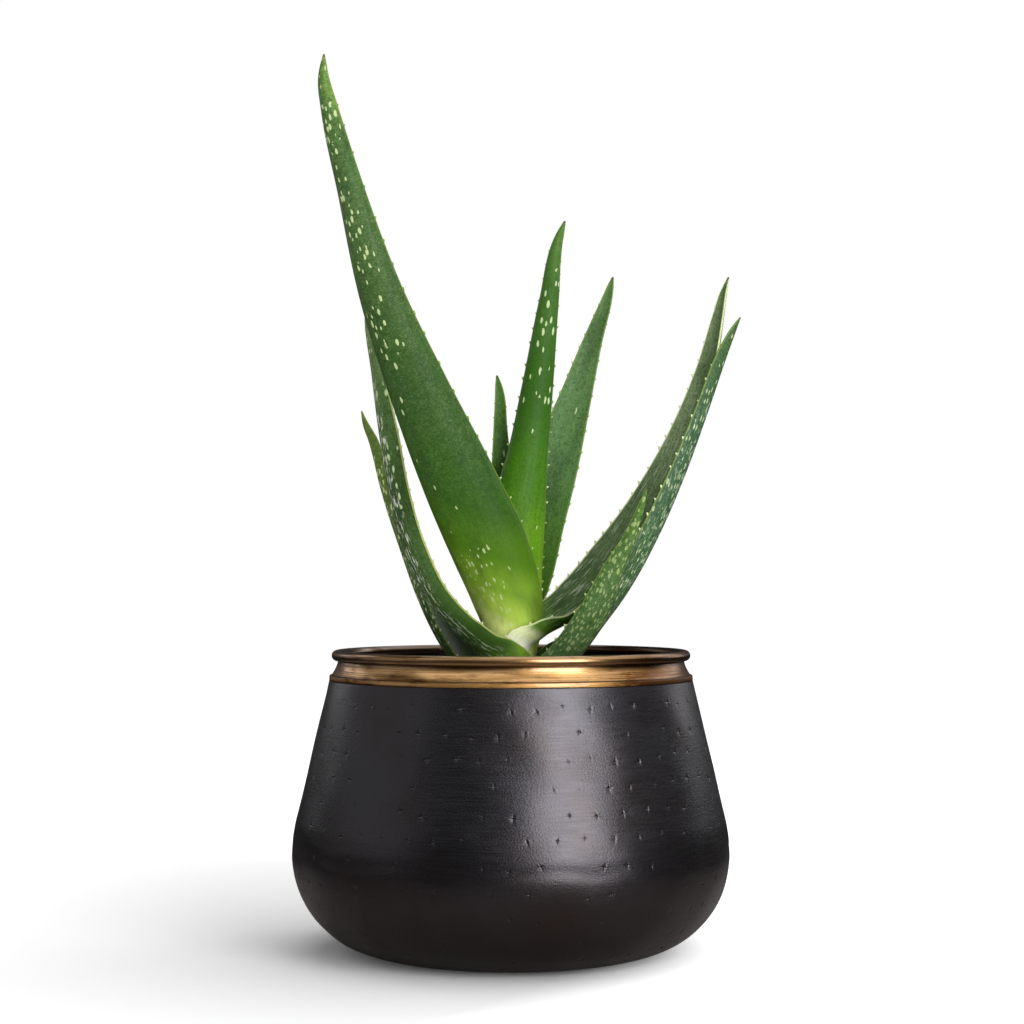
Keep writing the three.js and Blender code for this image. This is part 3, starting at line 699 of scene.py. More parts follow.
stem_line = np.array([
    [STEM_FOOT_RADIUS, STEM_FOOT],
    [STEM_RADIUS, STEM_FOOT + STEM_TAPER],
    [STEM_RADIUS, STEM_SHOULDER],
    STEM_CROWN,
    STEM_TOP,
])
stem_line, _ = softened(stem_line, STEM_SOFTENING, STEM_ROWS)
scar = (stem_line[:, 1] - STEM_FOOT) / SCAR_PITCH
stem_line[:, 0] -= SCAR_RISE * (scar % 1) * (stem_line[:, 1] < STEM_CROWN[1])
stem_profile = np.vstack([[[0, STEM_FOOT]], stem_line, [[0, STEM_TOP[1]]]])
stem = as_piece(spun(stem_profile, STEM_TURNS), "woody_stem", stem_bark())
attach(stem, "root")
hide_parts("stem")

# Leaves
# Thick, watery leaves in a loose rosette, each a crescent in section that clasps the stem at its
# foot. The skin is waxy, pale-flecked where young, and a thin hard rim carries soft teeth.
LEAF_ACROSS = 16
RIM_STEPS = 6
RIM_THICKNESS = 1.0
RIM_SHARE = 0.6
BELLY_POWER = 0.75
LEAST_WIDTH = 0.4
LEAST_FOLD = 4
STATION_PITCH = 2.5
TOOTH_LENGTH = 1.6
TOOTH_HALF_WIDTH = 1.15
TOOTH_LEAN = 0.55
TOOTH_POINT = 1.25
TOOTH_ROOT = 1.6
TOOTH_STATIONS = (-1, -0.62, -0.32, 0, 0.32, 0.62, 1)
SMALLEST_TOOTH = 0.45
FULL_TOOTH_LEAF = 18
TEETH_FROM = 22
TEETH_TO = 14
CURVE_STEP = 0.004
INNER_FACE_ASIDE = 200

# Width and length in millimetres of the skin's clouds of tone, its veins and its groups of flecks
CLOUD_SIZE = (14, 45)
VEIN_SIZE = (0.8, 60)
GROUP_SIZE = (9, 20)


def along_rows(rows, places):
    """The rows' values at places along the leaf, on a smooth curve through them."""
    steps = np.linalg.norm(np.diff(rows[:, :3], axis=0), axis=1)
    lengths = np.concatenate([[0], np.cumsum(steps)])
    rise = np.diff(rows, axis=0) / steps[:, None]
    slope = np.vstack([rise[:1], rise])
    before, after = steps[:-1, None], steps[1:, None]
    slope[1:-1] = (rise[:-1] * after + rise[1:] * before) / (before + after)
    k = np.clip(np.searchsorted(lengths, places) - 1, 0, len(rows) - 2)
    u = np.clip((places - lengths[k]) / steps[k], 0, 1)[:, None]
    span = steps[k][:, None]
    return (
        (2 * u**3 - 3 * u**2 + 1) * rows[k]
        + (u**3 - 2 * u**2 + u) * span * slope[k]
        + (3 * u**2 - 2 * u**3) * rows[k + 1]
        + (u**3 - u**2) * span * slope[k + 1]
    )


def unit(vectors):
    """Vectors of length one."""
    return vectors / np.linalg.norm(vectors, axis=-1, keepdims=True)


def leaf_teeth(rows, length, pitch, luck):
    """Places and sizes of the teeth on one margin."""
    teeth = []
    place = TEETH_FROM + luck.uniform(0, pitch)
    while place < length - TEETH_TO:
        width = along_rows(rows, np.array([place]))[0, 3]
        size = min(1, max(SMALLEST_TOOTH, width / FULL_TOOTH_LEAF)) * luck.uniform(0.75, 1.15)
        teeth.append((place, size))
        place += pitch * luck.uniform(0.7, 1.3)
    return teeth


def between(values, low, high, soft):
    """1 where values lie between low and high, easing to 0 over a soft width outside them."""
    return np.clip(np.minimum(values - low, high - values) / soft + 1, 0, 1)


def patches(rows, share, side, is_outer, soft_along, soft_across):
    """How strong a pattern is all over a leaf. Each row has the patch's two ends along the leaf, its
    two sides, its face, 1 outer or 0 inner, and its strength."""
    strength = np.zeros(share.shape)
    for low, high, left, right, face, amount in rows:
        patch = between(share, low, high, soft_along) * between(side, left, right, soft_across)
        strength = np.maximum(strength, patch * (abs(is_outer - face) < 0.5) * amount)
    return strength


def aloe_skin(name, look):
    """Waxy aloe skin: satin green over wet flesh, fine veins along it, pale flecks and a hard rim."""
    material, tree = new_material(name)
    blade = add(tree, "UVMap", uv_map="blade")[0]
    place = add(tree, "Attribute", attribute_name="place")
    share, side, outer = add(tree, "SeparateXYZ", [place["Vector"]])
    tooth = place["Alpha"]
    pattern = add(tree, "Attribute", attribute_name="pattern")["Vector"]
    fleck_room, streak_room, _ = add(tree, "SeparateXYZ", [pattern])
    edge = add(tree, "Math", [side], operation="ABSOLUTE")[0]

    # Clouds of tone, veins, streaks and the groups in which the flecks stand, all along the leaf
    noises = []
    for (wide, tall), detail, roughness in (
        (CLOUD_SIZE, 4, 0.6),
        (VEIN_SIZE, 3, 0.6),
        (look["streak_cell"], 4, 0.7),
        (GROUP_SIZE, 1, 0.5),
    ):
        spread = add(tree, "Mapping", {"Vector": blade, "Scale": (1 / wide, 1 / tall, 1)})[0]
        noise = {"Vector": spread, "Scale": 1, "Detail": detail, "Roughness": roughness}
        noises.append(add(tree, "TexNoise", noise)[0])
    cloud, vein, streak, group = noises
    # Mottling of the wax, 1 to 3 mm
    mottle = {"Vector": blade, "Scale": 0.6, "Detail": 4, "Roughness": 0.8, "Distortion": 1.5}
    mottle = add(tree, "TexNoise", mottle)[0]
    # Flecks from under 1 to 1.6 mm wide and about three times as long, one to a cell at most, and
    # ragged at their edges
    ragged = add(tree, "TexNoise", {"Vector": blade, "Scale": 0.55, "Detail": 2})["Color"]
    ragged = add(tree, "VectorMath", [ragged, (0.5, 0.5, 0.5)], operation="SUBTRACT")[0]
    ragged = add(tree, "VectorMath", [ragged, (0.6, 1.4, 0)], operation="MULTIPLY")[0]
    warped = add(tree, "VectorMath", [blade, ragged], operation="ADD")[0]
    wide, tall = look["fleck_cell"]
    cells = add(tree, "Mapping", {"Vector": warped, "Scale": (1 / wide, 1 / tall, 1)})[0]
    cells = {"Vector": cells, "Scale": 1, "Randomness": 0.85}
    cell = add(tree, "TexVoronoi", cells, voronoi_dimensions="2D")
    lot = add(tree, "SeparateColor", [cell["Color"]])
    size = add(tree, "MapRange", [lot[1], 0, 1, *look["fleck_size"]])[0]
    inside = add(tree, "Math", [size, cell["Distance"]], operation="SUBTRACT")[0]

    # Each share that eases: what it follows, where it starts, where it ends, and its two values
    eased = {}
    for key, row in {
        "inner": (outer, 0.45, 0.55, look["inner_share"], 0.0),
        "cloud": (cloud, 0.45, 0.7, 0.0, 1.0),
        "vein": (vein, 0.45, 0.7, 0.0, 1.0),
        "vein_room": (share, 0.12, 0.4, 0.1, 0.24),
        "mottle": (mottle, 0.46, 0.62, 0.0, 1.0),
        "mottle_room": (share, 0.12, 0.4, 0.06, 0.62),
        "bloom": (mottle, 0.5, 0.38, 0.0, 1.0),
        "bloom_room": (share, 0.15, 0.45, 0.0, look["bloom_share"]),
        "streak": (streak, 0.53, 0.62, 0.0, 1.0),
        "group": (group, 0.4, 0.56, look["between_groups"], 1.25),
        "fleck": (inside, -0.03, 0.08, 0.0, 1.0),
        "rim": (edge, 0.985, 1.0, 0.0, 1.0),
        "tooth": (tooth, 0.15, 0.7, 0.0, 1.0),
        "tip": (share, 0.988, 1.0, 0.0, 1.0),
        "roughness": (cloud, 0.3, 0.7, look["roughness"] - 0.05, look["roughness"] + 0.07),
    }.items():
        eased[key] = add(tree, "MapRange", row, interpolation_type="SMOOTHSTEP")[0]
    room = add(tree, "Math", [eased["group"], fleck_room], operation="MULTIPLY")[0]
    picked = add(tree, "Math", [room, lot[0]], operation="GREATER_THAN")[0]
    fleck = add(tree, "Math", [eased["fleck"], picked], operation="MULTIPLY")[0]

    # Tones along the leaf, from foot to tip, reaching further up on one side; on the tall leaf that is
    # painted light on its foot
    up = add(tree, "Math", [side, -look["tone_and_light_skew"], share], operation="MULTIPLY_ADD")[0]
    (start, tone), *stops = look["tones"]
    colour = linear(tone)
    for stop, tone in stops:
        shown = add(tree, "MapRange", [up, start, stop, 0.0, 1.0], interpolation_type="SMOOTHSTEP")[0]
        colour = add(tree, "Mix", {0: shown, 6: colour, 7: linear(tone)}, data_type="RGBA")[2]
        start = stop
    # Over them, one on another: how much shows, what holds it back, and the tone. The bloom is the
    # pale grain that the wax leaves, and the tip is dry
    for shown, room, tone in (
        (eased["inner"], None, "inner"),
        (eased["cloud"], 0.52, "shade"),
        (eased["vein"], eased["vein_room"], "shade"),
        (eased["mottle"], eased["mottle_room"], "shade"),
        (eased["bloom"], eased["bloom_room"], "bloom"),
        (eased["streak"], streak_room, "streak"),
        (fleck, look["fleck_share"], "fleck"),
        (eased["rim"], look["rim_share"], "rim"),
        (eased["tooth"], None, "tooth"),
        (eased["tip"], None, "tip"),
    ):
        if room is not None:
            shown = add(tree, "Math", [shown, room], operation="MULTIPLY")[0]
        colour = {0: shown, 6: colour, 7: linear(look[tone])}
        colour = add(tree, "Mix", colour, data_type="RGBA")[2]

    normal = {}
    for relief, depth in ((vein, 0.22), (fleck, 0.12), (mottle, 0.25)):
        bump = {"Height": relief, "Strength": 0.5, "Distance": depth * MM, **normal}
        normal = {"Normal": add(tree, "Bump", bump)[0]}
    wax = {"Base Color": colour, "Roughness": eased["roughness"], "IOR": 1.4, "Specular IOR Level": 0.2}
    flesh = {
        "Subsurface Weight": 0.12,
        "Subsurface Radius": (0.6, 1.0, 0.25),
        "Subsurface Scale": 3 * MM,
    }
    shader = add(tree, "BsdfPrincipled", {**wax, **flesh, **normal})[0]
    add(tree, "OutputMaterial", [shader])
    return material


def leaf_section():
    """The closed ring of a section, from the outer face over the right rim, the inner face and the
    left rim: the place across, 1 outside to 0 inside, and how far out on a rim."""
    face_turn = np.linspace(-1, 1, LEAF_ACROSS + 1)
    face_side = np.sin(face_turn * math.pi / 2) * 0.5 + face_turn * 0.5
    rim_turn = np.linspace(0, math.pi, RIM_STEPS + 1)[1:-1]
    face, rim = np.ones(len(face_turn)), np.ones(len(rim_turn))
    side = np.concatenate([face_side, rim, face_side[::-1], -rim])
    is_outer = np.concatenate([face, 1 - rim_turn / math.pi, 0 * face, rim_turn / math.pi])
    rim_reach = np.concatenate([0 * face, np.sin(rim_turn), 0 * face, np.sin(rim_turn)])
    return (np.append(ring, ring[0]) for ring in (side, is_outer, rim_reach))


def wrapped_grid(points, blade, layers):
    """A grid laid on rows of points round a leaf, joined along its seam and closed at both ends,
    with the leaf's own millimetres as its UV map and its values as colour layers."""
    rows, columns = len(points) - 1, len(points[0]) - 1
    bm = bmesh.new()
    bmesh.ops.create_grid(bm, x_segments=columns, y_segments=rows, size=1)
    blade_map = bm.loops.layers.uv.new("blade")
    layers = [(bm.loops.layers.float_color.new(key), values) for key, values in layers.items()]
    seats = {}
    for vert in bm.verts:
        row = round((vert.co.y + 1) / 2 * rows)
        column = round((vert.co.x + 1) / 2 * columns)
        seats[vert] = (row, column)
        vert.co = points[row, column] * MM
    for face in bm.faces:
        for loop in face.loops:
            seat = seats[loop.vert]
            loop[blade_map].uv = blade[seat]
            for layer, values in layers:
                loop[layer] = values[seat]
    first = {row: vert for vert, (row, column) in seats.items() if column == 0}
    seam = {vert: first[row] for vert, (row, column) in seats.items() if column == columns}
    bmesh.ops.weld_verts(bm, targetmap=seam)
    ends = [edge for edge in bm.edges if edge.is_boundary]
    bmesh.ops.holes_fill(bm, edges=ends, sides=0)
    bmesh.ops.recalc_face_normals(bm, faces=bm.faces)
    return bm


def leaf(name, node, seed, rows, changes):
    """One leaf: a lofted crescent with toothed rims. Each row has the middle of the inner face at a
    place up the leaf, then its width, its thickness, its fold, and the way that it faces."""
    look = {**OLD_SKIN, **changes}
    luck = random.Random(seed)
    rows = np.array(rows, float)
    length = np.linalg.norm(np.diff(rows[:, :3], axis=0), axis=1).sum()
    margins = {side: leaf_teeth(rows, length, look["tooth_pitch"], luck) for side in (-1, 1)}
    places = list(np.linspace(0, length, int(length / STATION_PITCH) + 1))
    for teeth in margins.values():
        for place, size in teeth:
            places += [place + t * TOOTH_HALF_WIDTH * size for t in TOOTH_STATIONS]
    places = np.unique(np.round(np.clip(places, 0, length), 3))
    values = along_rows(rows, places)
    step = CURVE_STEP * length
    ahead = along_rows(rows, np.minimum(places + step, length))[:, :3]
    behind = along_rows(rows, np.maximum(places - step, 0))[:, :3]
    along = unit(ahead - behind)
    heading = np.radians(values[:, 6])
    inward = np.column_stack([np.cos(heading), np.sin(heading), np.zeros(len(heading))])
    inward = unit(inward - (inward * along).sum(axis=1, keepdims=True) * along)
    across = np.cross(along, inward)
    half = np.maximum(values[:, 3], LEAST_WIDTH)[:, None] / 2
    thickness = np.maximum(values[:, 4], LEAST_WIDTH)[:, None]
    fold = np.radians(np.maximum(values[:, 5], LEAST_FOLD))[:, None]
    rim = np.minimum(RIM_THICKNESS, thickness * RIM_SHARE)

    side, is_outer, rim_reach = leaf_section()
    belly = rim + (thickness - rim) * (1 - side**2) ** BELLY_POWER
    round_rim = rim * (1 + np.cos(math.pi * (1 - is_outer))) / 2
    lift = np.where(rim_reach == 0, is_outer * belly, round_rim)
    tooth_rise = np.zeros((len(places), len(side)))
    for margin, teeth in margins.items():
        here = (side == margin) * rim_reach**TOOTH_ROOT
        for place, size in teeth:
            off = abs(places - place) / (TOOTH_HALF_WIDTH * size)
            near = np.clip(1 - off, 0, 1) ** TOOTH_POINT
            tooth_rise = np.maximum(tooth_rise, near[:, None] * here * size)
    reach = rim_reach * rim / 2 + tooth_rise * TOOTH_LENGTH
    angle = fold * side
    bend = half / fold
    level = (bend + lift) * np.sin(angle) + np.cos(angle) * np.sign(side) * reach
    depth = bend * (1 - np.cos(angle)) - lift * np.cos(angle) + abs(np.sin(angle)) * reach
    lean = tooth_rise * TOOTH_LENGTH * TOOTH_LEAN
    points = values[:, None, :3] + across[:, None] * level[..., None]
    points = points + inward[:, None] * depth[..., None] + along[:, None] * lean[..., None]

    # The blade map has the inner face set well aside, so that its pattern isn't the outer face's
    share = np.broadcast_to(places[:, None] / length, level.shape)
    side = np.broadcast_to(side, level.shape)
    is_outer = np.broadcast_to(is_outer, level.shape)
    aside = np.where(is_outer > 0.5, 0, INNER_FACE_ASIDE)
    blade = np.stack([side * half + aside, share * length], axis=-1)
    flecks = patches(look["flecks"], share, side, is_outer, 0.05, 0.15)
    streaks = patches(look["streaks"], share, side, is_outer, 0.12, 0.25)
    layers = {
        "place": np.stack([share, side, is_outer, tooth_rise], axis=-1),
        "pattern": np.stack([flecks, streaks, 0 * share, 0 * share + 1], axis=-1),
    }
    piece = as_piece(wrapped_grid(points, blade, layers), name, aloe_skin(f"aloe_skin_{name}", look))
    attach(piece, "root")
    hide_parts(node)


# The usual look of a leaf: its tones, the width and length in millimetres of its streaks' and
# flecks' cells, and the least and most that a fleck fills of its cell
OLD_SKIN = {
    "inner": "#34522c",
    "inner_share": 0.3,
    "shade": "#1f3a18",
    "bloom": "#80946f",
    "bloom_share": 0.12,
    "streak": "#a9b59a",
    "streak_cell": (1.1, 7),
    "fleck": "#b6c694",
    "fleck_share": 0.8,
    "between_groups": 0.25,
    "fleck_cell": (2.4, 8.0),
    "fleck_size": (0.14, 0.33),
    "rim": "#7f9440",
    "rim_share": 0.4,
    "tooth": "#d5dba8",
    "tip": "#55502a",
    "roughness": 0.46,
    "tooth_pitch": 10,
    "tone_and_light_skew": 0.0,
    "flecks": [],
    "streaks": [],
}

# Left leaf: the old grey-green leaf that wraps round the front of the plant and curves out left
leaf("left_leaf", "leaf_left", 11, [
    [-2, -7, 143, 34, 4, 88, 66],
    [-3.5, -12, 151.5, 36.5, 3.6, 88, 58],
    [-8.5, -16, 158, 35, 3.4, 72, 40],
    [-15.5, -18, 165, 33, 3.2, 52, 20],
    [-25.5, -18.5, 174.8, 32, 3.6, 45, 10],
    [-39.8, -17, 191.4, 31, 4.2, 42, 6],
    [-51.6, -12, 216, 29, 5, 41, 6],
    [-59.9, -5, 246.1, 26, 5.6, 38, 6],
    [-65.9, 4, 280, 22, 6.4, 36, 6],
    [-74, 15, 320, 14, 4, 30, 8],
    [-79.5, 22, 350, 6, 2.5, 26, 8],
    [-81.2, 24, 360.6, 0.6, 0.6, 20, 8],
], {
    "tones": [
        (0, "#a6cc4c"),
        (0.06, "#7ea434"),
        (0.1, "#486a24"),
        # The darker stop here is a painted shadow band across the foot
        (0.16, "#3c5c20"),
        (0.22, "#3e5c23"),
        (0.35, "#415c28"),
        (0.5, "#2e461a"),
        (0.7, "#4c6834"),
        (1, "#6c8250"),
    ],
    "streak": "#c9d0bc",
    "streaks": [(0.05, 0.7, -0.45, 0.4, 1, 1.0)],
    "flecks": [(0.5, 0.95, -0.9, 0.3, 1, 0.5)],
    "fleck_cell": (2.2, 7.5),
    "rim": "#b9c070",
    "rim_share": 0.6,
})

# Right leaf: the channelled leaf whose foot wraps round the front and which curves out right
leaf("right_leaf", "leaf_right", 12, [
    [5.5, -2, 148, 32, 4, 88, 176],
    [6, -3, 158, 38, 4.2, 100, 182],
    [8, -4, 169, 40, 4.2, 98, 190],
    [15, -4, 175.5, 35, 4.2, 80, 198],
    [26, -2, 182.4, 28, 4.4, 60, 204],
    [40.6, -1, 194.2, 31, 5.4, 60, 208],
    [55, 1, 210.5, 33, 6, 50, 212],
    [77.8, 6, 243.6, 29, 5.5, 46, 214],
    [95.9, 9, 280.5, 22, 4.5, 42, 215],
    [109, 11, 319, 15, 3.6, 36, 215],
    [115.6, 12, 350, 8, 2, 32, 215],
    [118.2, 12, 363, 4, 1.6, 28, 215],
    [120.6, 12, 370.7, 0.6, 0.6, 20, 215],
], {
    "tones": [
        (0.08, "#fffff0"),
        (0.115, "#e6eeb2"),
        (0.138, "#5a8420"),
        (0.175, "#34560f"),
        (0.3, "#4a6430"),
        (0.8, "#70825a"),
        (1, "#66804a"),
    ],
    "tone_and_light_skew": -0.02,
    "inner": "#66765a",
    "streak": "#b9c0ae",
    "streak_cell": (0.8, 14),
    "streaks": [(0.15, 0.3, -1, 1, 0, 0.65), (0.3, 0.65, -1, 1, 0, 0.3), (0.2, 0.4, -1, 1, 1, 0.3)],
    "rim": "#dbe2ac",
    "rim_share": 0.6,
})

# Tall leaf: the biggest, leaning to the upper left and towards the viewer
leaf("tall_leaf", "leaf_tall", 13, [
    [1, -6, 150, 26, 4.5, 84, 82],
    [0, -7, 163, 30, 6, 62, 78],
    [-1, -8, 181, 38, 8, 48, 73],
    [-5.6, -11, 198, 43, 10, 42, 69],
    [-13.4, -17, 219, 46, 12, 38, 66],
    [-29, -29, 254, 43.6, 12, 36, 64],
    [-49, -43, 301, 35, 11, 34, 62],
    [-69, -57, 354, 24.3, 9, 32, 60],
    [-83, -68, 405, 14.3, 6.5, 30, 58],
    [-93, -76, 444.5, 9, 4.5, 28, 56],
    [-95.9, -79, 460, 5.5, 3, 26, 55],
    [-95.7, -81, 472, 0.6, 0.6, 20, 55],
], {
    "tones": [
        (0.07, "#dee98a"),
        (0.11, "#a8c44c"),
        (0.16, "#74982a"),
        (0.23, "#466c10"),
        (0.32, "#2e530a"),
        (0.5, "#304e18"),
        (0.8, "#405a2b"),
        (0.93, "#44622c"),
        (1, "#628236"),
    ],
    # Its pale foot reaches further up one side: painted light
    "tone_and_light_skew": 0.07,
    "flecks": [
        (0.68, 0.9, -0.35, 0.22, 1, 1.0),
        (0.9, 0.985, -0.8, 0.4, 1, 1.0),
        (0.55, 0.68, -0.3, 0.3, 1, 0.55),
        (0.12, 0.2, -0.2, 0.45, 1, 0.7),
        (0.25, 0.55, -0.3, 0.5, 1, 0.04),
    ],
    "between_groups": 0.5,
    "fleck_cell": (1.9, 6.0),
    "fleck": "#b9c893",
    "fleck_share": 0.68,
    "rim": "#7c9a34",
    "rim_share": 0.3,
    "bloom_share": 0.16,
    "tooth_pitch": 14,
})

# Small front leaf: short, bright and densely flecked, in front of the leaves on the right
leaf("small_front_leaf", "leaf_small_front", 14, [
    [4, -9, 140.5, 15, 3.5, 66, 124],
    [13.5, -21, 148, 17, 4, 56, 124],
    [28.5, -33, 162, 18, 4, 48, 126],
    [44, -40, 184, 18, 4, 42, 126],
    [54.5, -43, 208, 12, 4, 36, 124],
    [62, -45, 224, 6.5, 3.2, 32, 122],
    [68.7, -46, 242, 2.4, 2, 28, 120],
    [71.5, -46, 251, 0.6, 0.6, 20, 120],
], {
    "tones": [(0, "#50704a"), (0.5, "#4a6634"), (1, "#426422")],
    "flecks": [(0.0, 0.97, -1, 1, 1, 1.0)],
    "between_groups": 0.8,
    "fleck_cell": (1.5, 4.4),
    "fleck_size": (0.17, 0.37),
    "fleck_share": 0.6,
    "fleck": "#93a36a",
})

# Far right leaf: blue-green and flecked, the furthest out on the right
leaf("far_right_leaf", "leaf_far_right", 15, [
    [5.5, -2, 141, 26, 4.5, 84, 162],
    [15.5, -8, 150, 32, 5.2, 82, 164],
    [31, -16, 162.5, 34, 6, 58, 168],
    [45.4, -21, 181.7, 33, 6, 50, 170],
    [57.2, -25, 197.3, 30, 5.5, 44, 170],
    [75.6, -28, 229.7, 26, 4.8, 38, 170],
    [90.1, -29, 262.1, 22, 4.2, 34, 170],
    [102, -30, 294.1, 17, 3.8, 32, 170],
    [112.9, -30, 326, 9, 3.8, 28, 170],
    [118.8, -30, 337.6, 4.5, 2.2, 24, 170],
    [122.6, -30, 343.5, 0.6, 0.6, 20, 170],
], {
    "tones": [(0, "#2e4a24"), (0.3, "#3a5832"), (0.7, "#36523a"), (1, "#3a562c")],
    "flecks": [(0.1, 0.97, -1, 1, 1, 0.6)],
    "between_groups": 0.35,
    "fleck_cell": (1.5, 5.4),
    "fleck": "#9caa84",
    "streak": "#9aa88c",
    "streaks": [(0.05, 0.7, -1, 1, 1, 0.45)],
})

# Centre leaf: upright and bright green, with long pale flecks on its upper half
leaf("centre_leaf", "leaf_centre", 16, [
    [0.5, 2, 157, 19, 4, 60, 95],
    [1, 4, 168, 24, 5, 44, 95],
    [1.5, 6.5, 186, 30, 6, 34, 95],
    [0.9, 9, 214, 34, 7, 28, 95],
    [4, 12, 241.5, 31, 7, 26, 95],
    [8.5, 14, 266.5, 23.4, 6.5, 26, 95],
    [14.6, 15, 308, 17, 5, 26, 95],
    [21.2, 14, 358, 10, 4, 26, 95],
    [26.2, 12, 391, 4.2, 2.5, 24, 95],
    [29.9, 11, 401.6, 0.6, 0.6, 20, 95],
], {
    "tones": [
        (0.05, "#a2c830"),
        (0.25, "#649410"),
        (0.42, "#3e700a"),
        (0.6, "#2b560c"),
        (0.8, "#365c1c"),
        (1, "#4a6e2e"),
    ],
    "shade": "#2a4c12",
    "bloom_share": 0.04,
    "flecks": [(0.6, 0.96, -0.9, 0.5, 1, 0.5), (0.3, 0.6, -0.9, 0.5, 1, 0.05)],
    "fleck_cell": (2.0, 7.5),
})

# Back leaf: broad and grey-green, behind the centre leaf on the right
leaf("back_leaf", "leaf_back", 17, [
    [1.5, 9, 147, 22, 4, 80, 260],
    [1.8, 15, 161, 22, 4.5, 60, 262],
    [3, 20, 183, 28, 6, 44, 265],
    [7.5, 24.5, 208, 34, 7, 36, 265],
    [13.5, 28, 233.5, 33, 7, 32, 265],
    [23.5, 32, 264.5, 28, 6.5, 30, 265],
    [35.3, 36, 301.5, 18.5, 5.5, 28, 265],
    [46.7, 40, 339, 9.8, 4.5, 26, 265],
    [55.1, 42, 364, 4.3, 3, 24, 265],
    [58, 43, 375, 0.6, 0.6, 20, 265],
], {
    "tones": [(0.1, "#5a8c10"), (0.3, "#568426"), (0.55, "#587c48"), (0.8, "#527040"), (1, "#48662e")],
    "inner": "#567a40",
    "flecks": [(0.6, 0.66, 0.3, 0.9, 0, 0.2)],
    "fleck_cell": (2.2, 12.0),
})

# Young leaf: short and narrow, between the centre leaf and the tall one
leaf("young_leaf", "leaf_young", 18, [
    [0, 6, 160, 13, 3, 60, 270],
    [0, 11, 175, 16, 4, 50, 270],
    [-1, 17, 208, 16, 4.5, 42, 270],
    [-4.5, 23, 247.5, 13, 4.5, 36, 270],
    [-5.9, 27, 287, 6.8, 4, 32, 270],
    [-6.5, 29, 308.7, 3.6, 2.5, 28, 270],
    [-7.9, 30, 317.8, 0.6, 0.6, 20, 270],
], {
    "tones": [(0, "#3a6014"), (0.5, "#426c1c"), (1, "#447028")],
    "inner": "#426a1c",
    "flecks": [(0.6, 0.8, -0.3, 0.3, 0, 0.3)],
})

# Far left leaf: bright yellow-green and flecked, behind the left leaf
leaf("far_left_leaf", "leaf_far_left", 19, [
    [-6, 3, 141, 22, 3.5, 74, -30],
    [-14, 8, 146, 25, 4, 60, -30],
    [-24, 14, 154, 26, 4.5, 50, -30],
    [-35, 20, 169, 25, 4.5, 44, -27],
    [-48.2, 25, 194, 21, 4.5, 40, -14],
    [-58.6, 29, 222, 18, 4.5, 36, 4],
    [-69.4, 33, 253.4, 14, 4, 32, 6],
    [-77.4, 37, 282, 9, 3.4, 30, 8],
    [-82.3, 38, 292, 5, 2, 26, 8],
    [-84.5, 39, 298.4, 0.6, 0.6, 20, 8],
], {
    # Its dark foot and near-black inner face are painted shade, behind the left leaf and inside its
    # channel
    "tones": [(0, "#1f3212"), (0.25, "#2c441c"), (0.5, "#4c662a"), (1, "#687c30")],
    "inner": "#0e1a08",
    "inner_share": 0.85,
    "flecks": [(0.3, 0.97, -1, 1, 1, 0.9), (0.5, 0.97, -1, 1, 0, 0.9)],
    "fleck_cell": (2.0, 5.5),
    "streaks": [(0.2, 0.6, -1, 1, 1, 0.5)],
})

# Floor and lights
# A plain pale floor under a white studio: a tall softbox in front on the right, a wide fill in
# front that gloss doesn't show, weak panels on the left and above, two softboxes behind, and an
# even light from overhead.
FLOOR_SIZE = 4.0
FLOOR_GLOW = (0.12, 0.8, 0.03, 0.6)
LIT_SIDE_FROM = (0.25, -0.05, 0)
LIT_SIDE_GLOW = (0.29, 0.4, 0.0, 0.6)
DARK_FLOOR_REACH = (0.15, 0.5)
SUN_STRENGTH = 2.0
SUN_SPREAD = 90
SUN_TURN = (-10, 22, 0)
UNSEEN_WHITE = 0.05


def pale_paper():
    """Matt white background paper, which glows in places as painted light and looks dark in gloss as a
    painted reflection.
    """
    material, tree = new_material("pale_paper")
    place = add(tree, "TexCoord")["Object"]
    tooth = add(tree, "TexNoise", {"Vector": place, "Scale": 900, "Detail": 2})[0]
    bumped = add(tree, "Bump", {"Height": tooth, "Strength": 0.1, "Distance": 0.1 * MM})[0]
    # Painted light: the paper glows more away from the plant, so that it runs out into white
    reach = add(tree, "VectorMath", [place], operation="LENGTH")["Value"]
    glow = add(tree, "MapRange", [reach, *FLOOR_GLOW])[0]
    # More painted light: a glow on the side away from the shadow, up to the planter's foot
    moved = add(tree, "VectorMath", [place, LIT_SIDE_FROM], operation="ADD")[0]
    aside = add(tree, "VectorMath", [moved], operation="LENGTH")["Value"]
    bright = add(tree, "MapRange", [aside, *LIT_SIDE_GLOW], interpolation_type="SMOOTHSTEP")[0]
    glow = add(tree, "Math", [glow, bright], operation="MAXIMUM")[0]
    paper = {"Base Color": linear("#e9e9e9"), "Roughness": 0.9, "Normal": bumped}
    lit = {"Emission Color": (1, 1, 1, 1), "Emission Strength": glow}
    shader = add(tree, "BsdfPrincipled", {**paper, **lit})[0]
    # Painted reflection: polished metal sees the floor dark, darker further from the plant
    tone = add(tree, "MapRange", [reach, *DARK_FLOOR_REACH, 0.0, 1.0])[0]
    tone = {0: tone, 6: linear("#938e8d"), 7: linear("#2a2827")}
    tone = add(tree, "Mix", tone, data_type="RGBA")[2]
    dark = add(tree, "BsdfDiffuse", {"Color": tone})[0]
    mirrored = add(tree, "LightPath")["Is Glossy Ray"]
    both = add(tree, "MixShader", [mirrored, shader, dark])[0]
    add(tree, "OutputMaterial", [both])
    return material


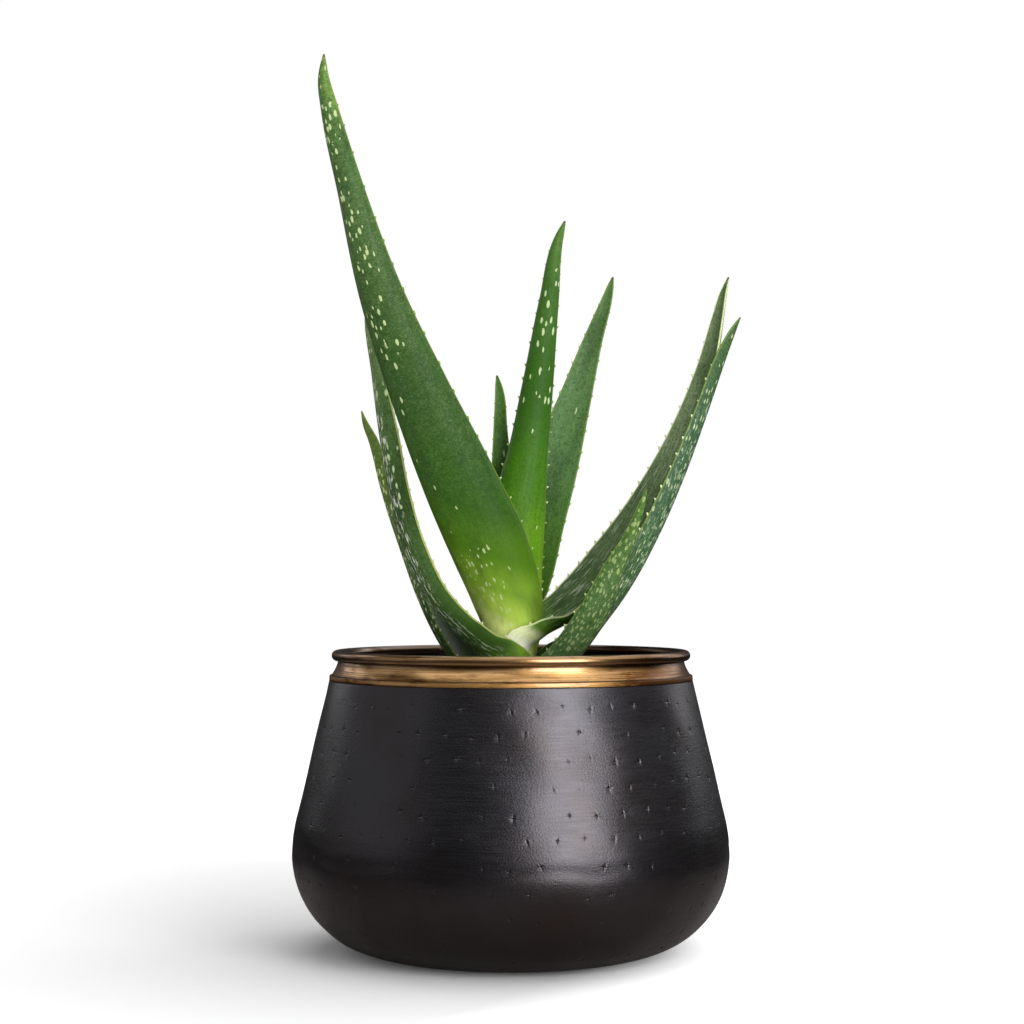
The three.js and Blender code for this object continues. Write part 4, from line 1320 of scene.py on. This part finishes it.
floor_mesh = bmesh.new()
bmesh.ops.create_grid(floor_mesh, x_segments=1, y_segments=1, size=FLOOR_SIZE)
floor = as_piece(floor_mesh, "studio_floor", pale_paper())

# Each softbox: its place, the height it faces, its size in metres, its brightness, and if gloss
# shows it
for name, place, aim, (width, height), brightness, in_gloss in (
    ("key_softbox", (0.77, -1.24, 0.57), 0.3, (0.88, 1.2), 6.4, True),
    ("fill_softbox", (-0.35, -1.7, 0.6), 0.2, (1.4, 1.0), 1.8, False),
    ("left_panel", (-1.35, -0.30, 0.55), 0.3, (1.5, 1.0), 0.36, True),
    ("upper_panel", (-0.8, -1.15, 1.55), 0.16, (2.0, 0.6), 1.3, True),
    ("left_softbox", (-1.26, 0.98, 0.8), 0.3, (0.7, 1.0), 1.2, True),
    ("right_softbox", (1.26, 0.98, 0.8), 0.3, (0.7, 1.0), 1.9, True),
):
    light = bpy.data.lights.new(name, "AREA")
    light.shape = "RECTANGLE"
    light.size = width
    light.size_y = height
    light.energy = brightness * math.pi * width * height
    lamp = bpy.data.objects.new(name, light)
    lamp.location = place
    lamp.rotation_euler = (Vector(place) - Vector((0, 0, aim))).to_track_quat("Z", "Y").to_euler()
    lamp.visible_glossy = in_gloss
    scene.collection.objects.link(lamp)

overhead = bpy.data.lights.new("overhead", "SUN")
overhead.energy = SUN_STRENGTH
overhead.angle = math.radians(SUN_SPREAD)
overhead_lamp = bpy.data.objects.new("overhead", overhead)
overhead_lamp.rotation_euler = [math.radians(turn) for turn in SUN_TURN]
scene.collection.objects.link(overhead_lamp)

# The studio is white to the camera, and gives the plant only a little of its light
world = bpy.data.worlds.new("white_studio")
world.use_nodes = True
studio = world.node_tree
studio.nodes.clear()
seen = add(studio, "Background", [(1, 1, 1, 1), 1.0])[0]
unseen = add(studio, "Background", [(1, 1, 1, 1), UNSEEN_WHITE])[0]
by_camera = add(studio, "LightPath")["Is Camera Ray"]
both = add(studio, "MixShader", [by_camera, unseen, seen])[0]
add(studio, "OutputWorld", [both])
scene.world = world
scene.view_settings.view_transform = "Standard"
scene.view_settings.look = "None"
